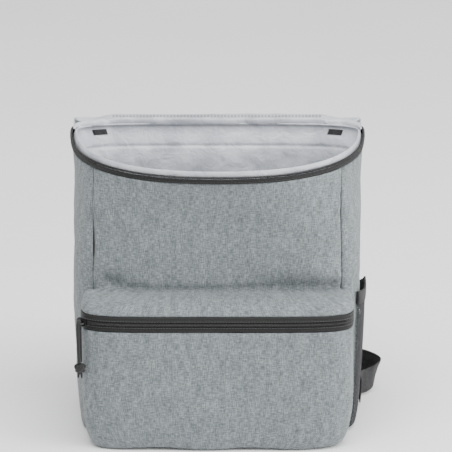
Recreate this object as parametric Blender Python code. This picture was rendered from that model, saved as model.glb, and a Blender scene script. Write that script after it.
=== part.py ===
"""Cooler backpack: an insulated box bag of woven polyester, open at the top.

Metres, +Z up. The front of the bag looks along -Y, and +X is on the right of someone who faces it.
The origin is the middle of the base panel's flat underside.
"""
import math

import bmesh
import bpy
import numpy as np
from mathutils import Matrix, Vector

for old in list(bpy.data.objects):
    bpy.data.objects.remove(old, do_unlink=True)

# Driving dimensions of the box
BODY_WIDTH = 0.286
BODY_DEPTH = 0.150
BODY_HEIGHT = 0.277
RIM_RISE = 0.006
REAR_ROUND = 0.034
REAR_EXPONENT = 4.0
FRONT_CORNER = 0.020
REAR_CORNER = 0.025
WALL = 0.0025
GAP = 0.0003
SEAM_GAP = 0.0006
BASE_THICKNESS = 0.003

# Liner
LINER_WALL = 0.0016
LINER_SLACK = 0.0105
LIP_RISE = 0.006
LINER_FLOOR = 0.010
FLOOR_RING = 0.9

# Front pocket
POCKET_HEIGHT = 0.156
POCKET_MARGIN = 0.007
POCKET_DEPTH = 0.036
POCKET_EXPONENT = 6.0
POCKET_WALL = 0.002
POCKET_SEAT = 0.0012

# Zips
RIM_TAPE_HEIGHT = 0.0046
TAPE_WALL = 0.0012
TAPE_PROUD = 0.0006
TAPE_FOOT_PROUD = 0.00036
COIL_DIAMETER = 0.0028
POCKET_TAPE_HEIGHT = 0.0155
POCKET_COIL_DIAMETER = 0.0032
COIL_START = math.radians(41)
SLIDER_LENGTH = 0.010
SLIDER_WIDTH = 0.0085
SLIDER_HEIGHT = 0.0042
SLIDER_BEVEL = 0.0012
BAIL_WIRE = 0.0016
BAIL_REACH = 0.0036
BAIL_FOOT = 0.0013
BAIL_RISE = 0.0053

# Zip pull
PULL_CORD_DIAMETER = 0.0030
PULL_DROP = 0.040
KNOT_RADIUS = 0.0056
KNOT_FLATNESS = 0.9
TAIL_LENGTH = 0.006

# Lid
LID_LENGTH = 0.170
LID_THICKNESS = 0.004
LID_LINING_WALL = 0.001
LID_HANG = 0.028
LID_TIP = 0.0014

# Side mesh pocket
MESH_WALL = 0.0012
MESH_BULGE = 0.0062
MESH_FRONT_HEIGHT = 0.148
MESH_REAR_HEIGHT = 0.118
BINDING_HEIGHT = 0.014
BINDING_WALL = 0.0016
SIDE_PRESS = 0.0022
MESH_SEAT = 0.0006
MESH_FOOT = 0.004
MESH_FRONT_TURN = math.radians(40.4)
MESH_REAR_TURN = math.radians(35.5)

# Straps
STRAP_WIDTH = 0.058
STRAP_THICKNESS = 0.008
STRAP_TOP = 0.262
WEBBING_WIDTH = 0.025
WEBBING_THICKNESS = 0.0016
BUCKLE_HEIGHT = 0.024
BUCKLE_BAR = 0.004
BUCKLE_THICKNESS = 0.004
BUCKLE_BEVEL = 0.001
SLOT_BEVEL = 0.0005
SLOT_PLAY = 0.001

# The box in level sections: share of the height, of half the width, of the front depth, corner exponent
BODY_SECTIONS = (
    # height, half_width, front, exponent
    (0.00, 0.955, 0.975, 6.0),
    (0.06, 0.968, 0.990, 6.5),
    (0.20, 0.985, 1.000, 7.0),
    (0.55, 1.000, 1.000, 7.0),
    (0.72, 1.000, 1.030, 5.2),
    (0.86, 1.000, 1.090, 3.6),
    (0.95, 1.008, 1.150, 2.7),
    (1.00, 1.020, 1.185, 2.35),
)

# Dents of the front panel: place as shares of half the width and of the height, reach, depth in walls
FRONT_DENTS = (
    # across, up, reach_across, reach_up, depth
    (-0.74, 0.600, 0.16, 0.040, 1.3),
    (0.78, 0.625, 0.16, 0.035, -1.2),
    (0.45, 0.590, 0.22, 0.030, 0.9),
    (0.00, 0.800, 0.60, 0.120, 0.8),
)

# The front pocket in rows from its crease down: shares of its height, half width and depth
POCKET_SECTIONS = (
    # height, half_width, depth
    (1.000, 0.930, 0.050),
    (0.985, 0.955, 0.420),
    (0.955, 0.972, 0.780),
    (0.896, 0.985, 0.960),
    (0.800, 0.990, 1.000),
    (0.500, 0.990, 1.030),
    (0.240, 0.982, 1.020),
    (0.110, 0.962, 1.000),
    (0.040, 0.932, 0.970),
    (0.008, 0.900, 0.880),
    (0.004, 0.870, 0.450),
    (0.004, 0.850, 0.060),
)

# The loose liner: share of the rim height, and how far it hangs off the wall as a share of its slack
LINER_SECTIONS = (
    # height, slack
    (1.000, 0.00),
    (0.975, 0.10),
    (0.930, 0.65),
    (0.860, 1.05),
    (0.700, 1.00),
    (0.400, 0.75),
    (0.100, 0.70),
    (0.055, 0.85),
)

# The liner's lip over the zip: share of its rise, and the slack
LINER_LIP = (
    # rise, slack
    (1.0, 0.14),
    (0.5, 0.03),
)

# The lid's roll over the rear edge: distance behind the back panel and height over the rim in LID_HANG
LID_ROLL = (
    # behind, above
    (-0.20, 0.095),
    (0.20, 0.115),
    (0.62, 0.01),
    (0.92, -0.30),
    (1.00, -0.90),
)
LID_STRAIGHT_KNOTS = 8

# The pull's cord, from the knot up behind the bail's wire, over it and down in front: outward and turned
# in radii of the bend over the wire, dropped as a share of PULL_DROP
PULL_LOOP = (
    # outward, turned, dropped
    (-1.25, 0.00, 1.00),
    (-1.15, 0.00, 0.62),
    (-1.04, 0.00, 0.30),
    (-1.00, 0.00, 0.04),
    (-0.71, -0.71, 0.00),
    (0.00, -1.00, 0.00),
    (0.71, -0.71, 0.00),
    (1.00, 0.00, 0.04),
    (0.90, 0.00, 0.30),
    (0.52, 0.00, 0.62),
    (0.07, 0.00, 1.00),
)

# One tail of the knot, from its heart: forward in cord diameters, down in knot radii and in tail lengths
PULL_TAIL = (
    # forward, knots, tails
    (0.30, 0.5, 0.0),
    (0.54, 1.0, 0.3),
    (0.66, 1.0, 1.0),
)

COLLECTION = bpy.data.collections.new("cooler_backpack")
CUTTERS = bpy.data.collections.new("cutters")
for group in (COLLECTION, CUTTERS):
    bpy.context.scene.collection.children.link(group)


def srgb(hex_code):
    """Linear colour of a six-digit sRGB value."""
    values = []
    for start in (0, 2, 4):
        channel = int(hex_code[start:start + 2], 16) / 255
        values.append(channel / 12.92 if channel <= 0.04045 else ((channel + 0.055) / 1.055) ** 2.4)
    return (*values, 1.0)


def material(name, hex_code, roughness, metallic=0.0):
    """A Principled material of one colour."""
    made = bpy.data.materials.new(name)
    made.use_nodes = True
    shader = made.node_tree.nodes["Principled BSDF"]
    shader.inputs["Base Color"].default_value = srgb(hex_code)
    shader.inputs["Roughness"].default_value = roughness
    shader.inputs["Metallic"].default_value = metallic
    return made


HEATHER = material("heather_polyester", "92989A", 0.9)
LINING = material("silver_lining", "BEC0C4", 0.45)
TAPE = material("black_zip_tape", "2E2E2D", 0.8)
COIL = material("black_nylon_coil", "262626", 0.45)
WEBBING = material("black_webbing", "2C2C2E", 0.75)
MESH = material("black_mesh", "4A4A4D", 0.8)
CORD = material("black_cord", "262628", 0.7)
PLASTIC = material("black_acetal", "1E1E20", 0.4)
PADDING = material("black_strap_fabric", "303033", 0.85)


def add_object(name, mesh, finish, smooth_angle=40):
    """Puts a mesh in the bag's collection under the node's name."""
    thing = bpy.data.objects.new(name, mesh)
    COLLECTION.objects.link(thing)
    mesh.materials.clear()
    mesh.materials.append(finish)
    mesh.shade_smooth()
    mesh.set_sharp_from_angle(angle=math.radians(smooth_angle))
    return thing


def column(table, place):
    """One column of a table as an array."""
    return np.array([row[place] for row in table], dtype=float)


def along(table, place, share):
    """A column's value at a share of the first column, by a smooth monotone curve."""
    shares = column(table, 0)
    values = column(table, place)
    order = np.argsort(shares)
    shares = shares[order]
    values = values[order]
    slopes = np.gradient(values, shares)
    steps = np.diff(values)
    for index, step in enumerate(steps):
        if abs(step) < 1e-9:
            slopes[index] = 0.0
            slopes[index + 1] = 0.0
    share = min(max(share, shares[0]), shares[-1])
    index = min(int(np.searchsorted(shares, share, side="right")) - 1, len(shares) - 2)
    width = shares[index + 1] - shares[index]
    t = (share - shares[index]) / width
    return ((2 * t ** 3 - 3 * t ** 2 + 1) * values[index] + (t ** 3 - 2 * t ** 2 + t) * width * slopes[index]
            + (3 * t ** 2 - 2 * t ** 3) * values[index + 1] + (t ** 3 - t ** 2) * width * slopes[index + 1])


def smooth_rows(rows, count=0, each=24):
    """Rows on the smooth curve through a few chosen ones, whose first three numbers are a place.

    They are evenly spaced if a count is given, and otherwise there are as many between each two chosen rows.
    """
    knots = np.array([tuple(row) for row in rows], dtype=float)
    knots = np.vstack([2 * knots[0] - knots[1], knots, 2 * knots[-1] - knots[-2]])
    dense = []
    for start in range(1, len(knots) - 2):
        before, here, there, after = knots[start - 1:start + 3]
        for step in range(each):
            t = step / each
            dense.append(0.5 * (2 * here + (there - before) * t + (2 * before - 5 * here + 4 * there - after)
                                * t * t + (3 * here - before - 3 * there + after) * t ** 3))
    dense = np.array([*dense, knots[-2]])
    if not count:
        return dense
    steps = np.linalg.norm(np.diff(dense[:, :3], axis=0), axis=1)
    lengths = np.concatenate([[0], np.cumsum(steps)])
    places = np.linspace(0, lengths[-1], count)
    return np.stack([np.interp(places, lengths, dense[:, axis]) for axis in range(dense.shape[1])], axis=1)


def smooth_path(points, count):
    """Points evenly spaced on the smooth curve through a few chosen ones."""
    return [Vector(row) for row in smooth_rows(points, count)]


# The box's form

HALF_WIDTH = BODY_WIDTH / 2
BACK_Y = BODY_DEPTH / 2
WIDEST_Y = BACK_Y - REAR_ROUND
FRONT_REACH = WIDEST_Y + BODY_DEPTH / 2
FRONT_SEAM = HALF_WIDTH - FRONT_CORNER
REAR_SEAM = HALF_WIDTH - REAR_CORNER
RIM_FRONT_Y = WIDEST_Y - FRONT_REACH * BODY_SECTIONS[-1][2]


def section(share):
    """Half width, front reach and corner exponent of the box at a share of its height."""
    return (HALF_WIDTH * along(BODY_SECTIONS, 1, share), FRONT_REACH * along(BODY_SECTIONS, 2, share),
            along(BODY_SECTIONS, 3, share))


def rim_height(y):
    """The rim rises a little from the front to the hinge."""
    return BODY_HEIGHT + RIM_RISE * (y - RIM_FRONT_Y) / (BACK_Y - RIM_FRONT_Y)


def front_dent(x, share):
    """How far the front panel is pushed back at a place."""
    depth = 0.0
    for across, up, reach_across, reach_up, walls in FRONT_DENTS:
        near = ((x / HALF_WIDTH - across) / reach_across) ** 2 + ((share - up) / reach_up) ** 2
        depth += WALL * walls * math.exp(-near)
    return depth


def front_point(x, share, inset=0.0):
    """A point of the front, at x across and a share of the height."""
    half, reach, exponent = section(share)
    half -= inset
    reach -= inset
    y = WIDEST_Y - reach * (1 - min(abs(x) / half, 1.0) ** exponent) ** (1 / exponent) + front_dent(x, share)
    return Vector((x, y, share * rim_height(y)))


def back_point(x, share, inset=0.0):
    """A point of the back, at x across and a share of the height."""
    half = section(share)[0] - inset
    reach = REAR_ROUND - inset
    y = WIDEST_Y + reach * (1 - min(abs(x) / half, 1.0) ** REAR_EXPONENT) ** (1 / REAR_EXPONENT)
    return Vector((x, y, share * rim_height(BACK_Y)))


def side_press(share, angle):
    """How far the side is pushed in behind the mesh pocket."""
    top = MESH_REAR_HEIGHT / BODY_HEIGHT
    level = math.exp(-((share - 0.8 * top) / (0.7 * top)) ** 4)
    return SIDE_PRESS * level * math.exp(-(angle / MESH_REAR_TURN) ** 4)


def turn_point(side, angle, share, inset=0.0, stand=0.0):
    """A point of the box's outline at a turn from the widest line: negative to the front."""
    half, reach, exponent = section(share)
    if angle > 0:
        reach = REAR_ROUND
        exponent = REAR_EXPONENT
    half += stand - inset
    reach += stand - inset
    c = math.cos(angle)
    s = math.sin(angle)
    radius = (abs(c) ** exponent + abs(s) ** exponent) ** (-1 / exponent)
    x = half * radius * c
    y = WIDEST_Y + reach * radius * s
    if side > 0:
        x -= side_press(share, angle)
    if angle < 0:
        y += front_dent(side * x, share) * (-s)
    return Vector((side * x, y, share * rim_height(y)))


def seam_angle(seam, half, exponent):
    """The turn at which the outline is the seam's distance from the middle."""
    return math.atan(((half / seam) ** exponent - 1) ** (1 / exponent))


def shell(name, outer, inner, finish, closed=False):
    """A closed wall between two grids of points, open or closed across."""
    rows = len(outer)
    columns = len(outer[0])
    mesh = bpy.data.meshes.new(name)
    work = bmesh.new()
    grids = [[[work.verts.new(point) for point in row] for row in grid] for grid in (outer, inner)]
    last = columns if closed else columns - 1
    for row in range(rows - 1):
        for place in range(last):
            following = (place + 1) % columns
            a, b = grids[0][row][place], grids[0][row][following]
            c, d = grids[0][row + 1][following], grids[0][row + 1][place]
            work.faces.new((a, b, c, d))
            a, b = grids[1][row][place], grids[1][row][following]
            c, d = grids[1][row + 1][following], grids[1][row + 1][place]
            work.faces.new((d, c, b, a))
    for row in (0, rows - 1):
        for place in range(last):
            following = (place + 1) % columns
            quad = (grids[0][row][place], grids[1][row][place], grids[1][row][following], grids[0][row][following])
            work.faces.new(quad if row == 0 else quad[::-1])
    if not closed:
        for place in (0, columns - 1):
            for row in range(rows - 1):
                quad = (grids[0][row][place], grids[0][row + 1][place],
                        grids[1][row + 1][place], grids[1][row][place])
                work.faces.new(quad if place == 0 else quad[::-1])
    bmesh.ops.recalc_face_normals(work, faces=work.faces)
    work.to_mesh(mesh)
    work.free()
    return add_object(name, mesh, finish)


def spaced(start, end, count):
    """Evenly spaced values."""
    return [start + (end - start) * step / (count - 1) for step in range(count)]


WALL_FOOT = (BASE_THICKNESS + GAP) / BODY_HEIGHT
WALL_HEAD = 1 - (RIM_TAPE_HEIGHT + GAP) / BODY_HEIGHT
WALL_ROWS = [WALL_FOOT + (WALL_HEAD - WALL_FOOT) * step / 11 for step in range(12)]


def make_front_panel():
    edge = FRONT_SEAM - SEAM_GAP / 2
    across = spaced(-edge, edge, 15)
    grids = [[[front_point(x, share, inset) for x in across] for share in WALL_ROWS] for inset in (0, WALL)]
    shell("front_panel", *grids, HEATHER)


def gusset_angles(share, inset, steps):
    """The turns from the front seam to the rear seam at one height."""
    half, _, exponent = section(share)
    front = seam_angle(FRONT_SEAM + SEAM_GAP / 2, half - inset, exponent)
    rear = seam_angle(REAR_SEAM + SEAM_GAP / 2, half - inset, REAR_EXPONENT)
    return spaced(-front, rear, steps)


def make_side_gusset(side, name):
    grids = []
    for inset in (0, WALL):
        grids.append([[turn_point(side, angle, share, inset) for angle in gusset_angles(share, inset, 13)]
                      for share in WALL_ROWS])
    shell(name, *grids, HEATHER)


def make_back_panel():
    edge = REAR_SEAM - SEAM_GAP / 2
    rows = [WALL_FOOT + (1 - WALL_FOOT) * step / 7 for step in range(8)]
    across = spaced(-edge, edge, 11)
    grids = [[[back_point(x, share, inset) for x in across] for share in rows] for inset in (0, WALL)]
    shell("back_panel", *grids, HEATHER)


def outline(share, inset, columns):
    """A level ring round the box, from the front's middle round the right to the back and home."""
    ring = []
    for angle in spaced(-math.pi / 2, math.pi / 2, columns):
        ring.append(turn_point(1, angle, share, inset))
    for angle in spaced(math.pi / 2, -math.pi / 2, columns)[1:-1]:
        ring.append(turn_point(-1, angle, share, inset))
    return ring


def make_base_panel():
    mesh = bpy.data.meshes.new("base_panel")
    work = bmesh.new()
    ring = outline(0.0, 0.0, 19)
    low = [work.verts.new((point.x, point.y, 0.0)) for point in ring]
    high = [work.verts.new((point.x, point.y, BASE_THICKNESS)) for point in ring]
    work.faces.new(low[::-1])
    work.faces.new(high)
    for place in range(len(ring)):
        following = (place + 1) % len(ring)
        work.faces.new((low[place], low[following], high[following], high[place]))
    bmesh.ops.recalc_face_normals(work, faces=work.faces)
    work.to_mesh(mesh)
    work.free()
    add_object("base_panel", mesh, HEATHER)


def make_liner():
    """An open tub: its lip stands over the zip, and it hangs loose inside the walls."""
    columns = 17
    sections = [(1 + rise * LIP_RISE / BODY_HEIGHT, slack) for rise, slack in LINER_LIP] + list(LINER_SECTIONS)
    foot = sections[-1][0]
    mesh = bpy.data.meshes.new("liner")
    work = bmesh.new()
    skins = []
    for extra in (0.0, LINER_WALL):
        rings = []
        for share, slack in sections:
            ring = outline(min(share, 1.0), WALL + GAP + slack * LINER_SLACK + extra, columns)
            for point in ring:
                to_back = min(max((point.y - WIDEST_Y + REAR_ROUND / 2) / REAR_ROUND, 0.0), 1.0)
                point.z += (max(share, 1.0) - 1.0) * BODY_HEIGHT * (1 - to_back)
                if share == foot:
                    point.z += extra
            rings.append([work.verts.new(point) for point in ring])
        for first, second in zip(rings, rings[1:]):
            for place in range(len(first)):
                following = (place + 1) % len(first)
                work.faces.new((first[place], first[following], second[following], second[place]))
        centre = work.verts.new((0, 0, LINER_FLOOR + extra))
        ring = []
        for vertex in rings[-1]:
            ring.append(work.verts.new((vertex.co.x * FLOOR_RING, vertex.co.y * FLOOR_RING, LINER_FLOOR + extra)))
        for place in range(len(ring)):
            following = (place + 1) % len(ring)
            work.faces.new((rings[-1][place], rings[-1][following], ring[following], ring[place]))
            work.faces.new((ring[place], ring[following], centre))
        skins.append(rings[0])
    for place in range(len(skins[0])):
        following = (place + 1) % len(skins[0])
        work.faces.new((skins[0][place], skins[1][place], skins[1][following], skins[0][following]))
    bmesh.ops.recalc_face_normals(work, faces=work.faces)
    work.to_mesh(mesh)
    work.free()
    add_object("liner", mesh, LINING)


def rim_line(stand, columns):
    """Points round the open rim, from the rear left corner over the front to the rear right."""
    rear = seam_angle(REAR_SEAM + SEAM_GAP, section(1.0)[0], REAR_EXPONENT)
    right = [turn_point(1, angle, 1.0, 0.0, stand) for angle in spaced(-math.pi / 2, rear, columns)]
    left = [Vector((-point.x, point.y, point.z)) for point in right[:0:-1]]
    return left + right


def make_rim_tape():
    columns = 22
    grids = []
    for inset in (0, TAPE_WALL):
        line = rim_line(TAPE_PROUD - inset, columns)
        low = rim_line(TAPE_FOOT_PROUD - inset, columns)
        grids.append([[Vector((a.x, a.y, a.z - RIM_TAPE_HEIGHT)) for a in low],
                      [Vector((a.x, a.y, a.z - RIM_TAPE_HEIGHT / 2)) for a in line],
                      line])
    shell("rim_zip_tape", *grids, TAPE)


def tube(name, points, diameter, finish, sides=2):
    """A round tube through the points, with closed ends."""
    data = bpy.data.curves.new(name, "CURVE")
    data.dimensions = "3D"
    data.bevel_depth = diameter / 2
    data.bevel_resolution = sides
    data.use_fill_caps = True
    data.materials.append(finish)
    spline = data.splines.new("POLY")
    spline.points.add(len(points) - 1)
    for spot, point in zip(spline.points, points):
        spot.co = (*point, 1.0)
    thing = bpy.data.objects.new(name, data)
    COLLECTION.objects.link(thing)
    return thing


def as_mesh(thing):
    """A curve object made a welded mesh of the same name."""
    graph = bpy.context.evaluated_depsgraph_get()
    mesh = bpy.data.meshes.new_from_object(thing.evaluated_get(graph))
    work = bmesh.new()
    work.from_mesh(mesh)
    bmesh.ops.remove_doubles(work, verts=work.verts, dist=1e-6)
    work.to_mesh(mesh)
    work.free()
    made = bpy.data.objects.new(thing.name + "_mesh", mesh)
    made.matrix_world = thing.matrix_world
    COLLECTION.objects.link(made)
    name = thing.name
    bpy.data.objects.remove(thing, do_unlink=True)
    made.name = name
    return made


def make_rim_coil():
    rise = Vector((0, 0, COIL_DIAMETER / 2 + GAP))
    line = [point + rise for point in rim_line(TAPE_PROUD - TAPE_WALL / 2, 23)]
    tube("rim_zip_coil", line, COIL_DIAMETER, COIL, 1)
    up = Vector((0, 0, 1))
    for name, end, inner in (("left", line[1], line[2]), ("right", line[-2], line[-3])):
        seat = end + up * ((COIL_DIAMETER + SLIDER_HEIGHT) / 2 + GAP)
        make_slider(f"rim_slider_{name}", seat, end - inner, up)


# The front pocket's form

POCKET_FRONT_Y = -BODY_DEPTH / 2 - POCKET_DEPTH
POCKET_HALF_WIDTH = HALF_WIDTH - POCKET_MARGIN


def share_of(z):
    """The height share of a level of the box's front."""
    return z / BODY_HEIGHT


def clear_of_front(point, clearance=POCKET_SEAT):
    """The point, brought forward where it would sink into the box's front."""
    half = section(share_of(point.z))[0]
    if abs(point.x) >= half:
        return point
    surface = front_point(point.x, share_of(point.z)).y
    surface = front_point(point.x, point.z / rim_height(surface)).y
    return Vector((point.x, min(point.y, surface - clearance), point.z))


def pocket_point(turn, row):
    """A point of the pocket: turn from 0 at the right to pi at the left, row a fractional table row."""
    low = int(min(math.floor(row), len(POCKET_SECTIONS) - 2))
    part = row - low
    rows = [POCKET_SECTIONS[min(max(low + step, 0), len(POCKET_SECTIONS) - 1)] for step in (-1, 0, 1, 2)]
    shares = []
    for place in range(3):
        a, b, c, d = (entry[place] for entry in rows)
        shares.append(0.5 * (2 * b + (c - a) * part + (2 * a - 5 * b + 4 * c - d) * part ** 2
                             + (3 * b - a - 3 * c + d) * part ** 3))
    z = POCKET_HEIGHT * max(shares[0], POCKET_SECTIONS[-1][0])
    half = POCKET_HALF_WIDTH * shares[1]
    edge = front_point(half, share_of(z)).y - POCKET_SEAT
    reach = (edge - POCKET_FRONT_Y) * shares[2]
    c = math.cos(turn)
    s = math.sin(turn)
    radius = (abs(c) ** POCKET_EXPONENT + abs(s) ** POCKET_EXPONENT) ** (-1 / POCKET_EXPONENT)
    return clear_of_front(Vector((half * radius * c, edge - reach * radius * s, z)))


POCKET_TURNS = spaced(0.0, math.pi, 25)
POCKET_FACE_ROW = 3
POCKET_FOOT_ROW = 8
TURN_STEP = 0.01


def pocket_grid(rows):
    return [[pocket_point(turn, row) for turn in POCKET_TURNS] for row in rows]


def pocket_row(height):
    """The fractional table row at which the pocket's front is at a height."""
    low = 0.0
    high = POCKET_FOOT_ROW
    for _ in range(40):
        middle = (low + high) / 2
        if pocket_point(math.pi / 2, middle).z > height:
            low = middle
        else:
            high = middle
    return (low + high) / 2


POCKET_ZIP_TOP = POCKET_SECTIONS[POCKET_FACE_ROW][0] * POCKET_HEIGHT
POCKET_ZIP_FOOT = POCKET_ZIP_TOP - POCKET_TAPE_HEIGHT
POCKET_MIDDLE = Vector((0, WIDEST_Y, POCKET_HEIGHT / 2))


def pocket_normal(turn, row):
    """The unit normal of the pocket's surface, pointing out."""
    across = pocket_point(min(turn + TURN_STEP, math.pi), row) - pocket_point(max(turn - TURN_STEP, 0.0), row)
    last = len(POCKET_SECTIONS) - 1
    down = pocket_point(turn, min(row + TURN_STEP, last)) - pocket_point(turn, max(row - TURN_STEP, 0.0))
    normal = across.cross(down).normalized()
    return normal if normal.dot(pocket_point(turn, row) - POCKET_MIDDLE) > 0 else -normal


def pocket_shell(name, rows, thickness, finish):
    """A wall of the pocket between two rows, clear of the box behind it."""
    outer = pocket_grid(rows)
    inner = []
    for row, line in zip(rows, outer):
        inner.append([clear_of_front(point - thickness * pocket_normal(turn, row))
                      for turn, point in zip(POCKET_TURNS, line)])
    return shell(name, outer, inner, finish)


def make_pocket():
    hood_foot = pocket_row(POCKET_ZIP_TOP + GAP)
    body_head = pocket_row(POCKET_ZIP_FOOT - GAP)
    last = len(POCKET_SECTIONS) - 1
    pocket_shell("pocket_hood", spaced(0.0, hood_foot, 7), POCKET_WALL, HEATHER)
    rows = spaced(body_head, last, 14)
    pocket_shell("pocket_front", rows, POCKET_WALL, HEATHER)
    tape_rows = [pocket_row(z) for z in spaced(POCKET_ZIP_TOP, POCKET_ZIP_FOOT, 4)]
    pocket_shell("pocket_zip_tape", tape_rows, TAPE_WALL, TAPE)
    middle = pocket_row((POCKET_ZIP_TOP + POCKET_ZIP_FOOT) / 2)
    line = []
    for turn in spaced(COIL_START, math.pi - COIL_START, 34):
        spot = pocket_point(turn, middle)
        before = pocket_point(turn - TURN_STEP, middle)
        after = pocket_point(turn + TURN_STEP, middle)
        way = Vector(((after - before).y, -(after - before).x, 0)).normalized()
        if way.dot(spot - POCKET_MIDDLE) < 0:
            way = -way
        line.append(spot + way * (POCKET_COIL_DIAMETER / 2 + GAP))
    tube("pocket_zip_coil", line, POCKET_COIL_DIAMETER, COIL, 1)
    return line


def box_mesh(size, bevel, segments=1):
    """A box with bevelled edges, centred on its own origin."""
    mesh = bpy.data.meshes.new("box")
    work = bmesh.new()
    bmesh.ops.create_cube(work, size=1.0)
    bmesh.ops.scale(work, vec=size, verts=work.verts)
    bmesh.ops.bevel(work, geom=work.edges[:], offset=bevel, segments=segments, affect="EDGES")
    work.to_mesh(mesh)
    work.free()
    return mesh


def cut(thing, cutter, operation="DIFFERENCE"):
    """Applies one exact Boolean and puts the cutter with the others."""
    modifier = thing.modifiers.new("cut", "BOOLEAN")
    modifier.object = cutter
    modifier.operation = operation
    modifier.solver = "EXACT"
    cutter.hide_render = True
    cutter.display_type = "WIRE"
    for group in cutter.users_collection:
        group.objects.unlink(cutter)
    CUTTERS.objects.link(cutter)


def frame_at(origin, forward, outward):
    """A matrix whose X runs forward and whose Z looks outward."""
    x = forward.normalized()
    z = (outward - outward.dot(x) * x).normalized()
    y = z.cross(x)
    return Matrix.Translation(origin) @ Matrix((x, y, z)).transposed().to_4x4()


def make_slider(name, origin, forward, outward):
    """A zip slider: its body, with a bail arch over it."""
    body = add_object(name, box_mesh((SLIDER_LENGTH, SLIDER_WIDTH, SLIDER_HEIGHT), SLIDER_BEVEL), PLASTIC)
    body.matrix_world = frame_at(origin, forward, outward)
    arch = []
    for angle in spaced(0.0, math.pi, 9):
        arch.append(Vector((BAIL_REACH * math.cos(angle), 0, BAIL_FOOT + BAIL_RISE * math.sin(angle))))
    bail = as_mesh(tube(name + "_bail", arch, BAIL_WIRE, PLASTIC, 1))
    bail.matrix_world = body.matrix_world.copy()
    cut(body, bail, "UNION")
    return body


def make_pocket_pull(coil_line):
    """The slider at the left end of the pocket's zip, its cord loop and the knot with two tails."""
    last = coil_line[-1]
    before = coil_line[-3]
    forward = (last - before).normalized()
    outward = Vector((-forward.y, forward.x, 0))
    if outward.dot(last - POCKET_MIDDLE) < 0:
        outward = -outward
    seat = last + forward * (SLIDER_LENGTH / 2 + GAP)
    seat += outward * (SLIDER_HEIGHT / 2 - POCKET_COIL_DIAMETER / 2 + GAP)
    make_slider("pocket_slider", seat, forward, outward)
    wire = seat + outward * (BAIL_FOOT + BAIL_RISE)
    bend = BAIL_WIRE / 2 + GAP + PULL_CORD_DIAMETER / 2
    drop = Vector((0, 0, -1))
    route = []
    for out, turned, dropped in PULL_LOOP:
        route.append(wire + bend * out * outward + (bend * turned + PULL_DROP * dropped) * drop)
    tube("pull_cord", smooth_path(route, 40), PULL_CORD_DIAMETER, CORD, 1)
    heart = (route[0] + route[-1]) / 2 + drop * (KNOT_RADIUS + GAP)
    mesh = bpy.data.meshes.new("pull_knot")
    work = bmesh.new()
    bmesh.ops.create_uvsphere(work, u_segments=12, v_segments=7, radius=KNOT_RADIUS)
    bmesh.ops.scale(work, vec=(1.0, KNOT_FLATNESS, 1.0), verts=work.verts)
    work.to_mesh(mesh)
    work.free()
    knot = add_object("pull_knot", mesh, CORD)
    knot.location = heart
    for index, sign in enumerate((1, -1)):
        tail = []
        for aside, knots, tails in PULL_TAIL:
            down = knots * KNOT_RADIUS + tails * TAIL_LENGTH
            tail.append(heart + sign * aside * PULL_CORD_DIAMETER * forward + down * drop)
        piece = as_mesh(tube(f"pull_tail_{index}", smooth_path(tail, 5), PULL_CORD_DIAMETER, CORD, 1))
        cut(knot, piece, "UNION")


# The lid, folded back over the rear edge

# The roll's knots, then even ones down the straight stretch, so the curve keeps straight there
LID_KNOTS = [(behind * LID_HANG, above * LID_HANG) for behind, above in LID_ROLL]
for step in range(1, LID_STRAIGHT_KNOTS + 1):
    share = step / LID_STRAIGHT_KNOTS
    LID_KNOTS.append((LID_HANG, LID_ROLL[-1][1] * LID_HANG * (1 - share) - LID_LENGTH * share))
LID_PATH = smooth_path([(0, BACK_Y + behind, rim_height(BACK_Y) + above) for behind, above in LID_KNOTS], 400)
LID_STEP = (LID_PATH[1] - LID_PATH[0]).length
LID_REAR_SHARE = REAR_ROUND / (FRONT_REACH * BODY_SECTIONS[-1][2] + REAR_ROUND)


def lid_half_width(distance):
    """The lid has the rim's own plan, measured from the hinge."""
    half, _, exponent = section(1.0)
    rear = LID_LENGTH * LID_REAR_SHARE
    if distance < rear:
        share = (rear - distance) / rear
        exponent = REAR_EXPONENT
    else:
        share = (distance - rear) / (LID_LENGTH - rear)
    return half * (1 - min(share, 1.0) ** exponent) ** (1 / exponent)


LID_START = LID_LENGTH * LID_REAR_SHARE * (1 - (1 - (REAR_SEAM / section(1.0)[0]) ** REAR_EXPONENT)
                                           ** (1 / REAR_EXPONENT))


def lid_place(x, distance, stand):
    """A point of the lid: across, along from the hinge, and out of its lining face."""
    place = min((distance - LID_START) / LID_STEP, len(LID_PATH) - 2.001)
    low = int(place)
    here = LID_PATH[low].lerp(LID_PATH[low + 1], place - low)
    way = (LID_PATH[low + 1] - LID_PATH[low]).normalized()
    normal = Vector((0, -way.z, way.y))
    return Vector((x, here.y, here.z)) + normal * stand


def lid_outline(inset, steps):
    """Half of the lid's edge as pairs of x and distance from the hinge, from the hinge to the tip."""
    line = []
    end = LID_LENGTH - LID_TIP
    for step in range(steps):
        distance = LID_START + (end - LID_START) * math.sin(step / (steps - 1) * math.pi / 2)
        line.append((lid_half_width(distance), distance))
    trimmed = []
    for place, (x, distance) in enumerate(line):
        before = line[max(place - 1, 0)]
        after = line[min(place + 1, steps - 1)]
        way = Vector((after[0] - before[0], after[1] - before[1])).normalized()
        trimmed.append((x - way.y * inset, max(distance + way.x * inset, LID_START)))
    return trimmed


def lid_sheet(name, inset, low, high, finish):
    """A flat piece of the lid between two distances out of its middle."""
    edge = lid_outline(inset, 17)
    grids = []
    for stand in (high, low):
        grid = []
        for x, distance in edge:
            grid.append([lid_place(x * across, distance, stand) for across in spaced(-1.0, 1.0, 9)])
        grids.append(grid)
    shell(name, *grids, finish)


SKIRT_START = 3


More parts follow.
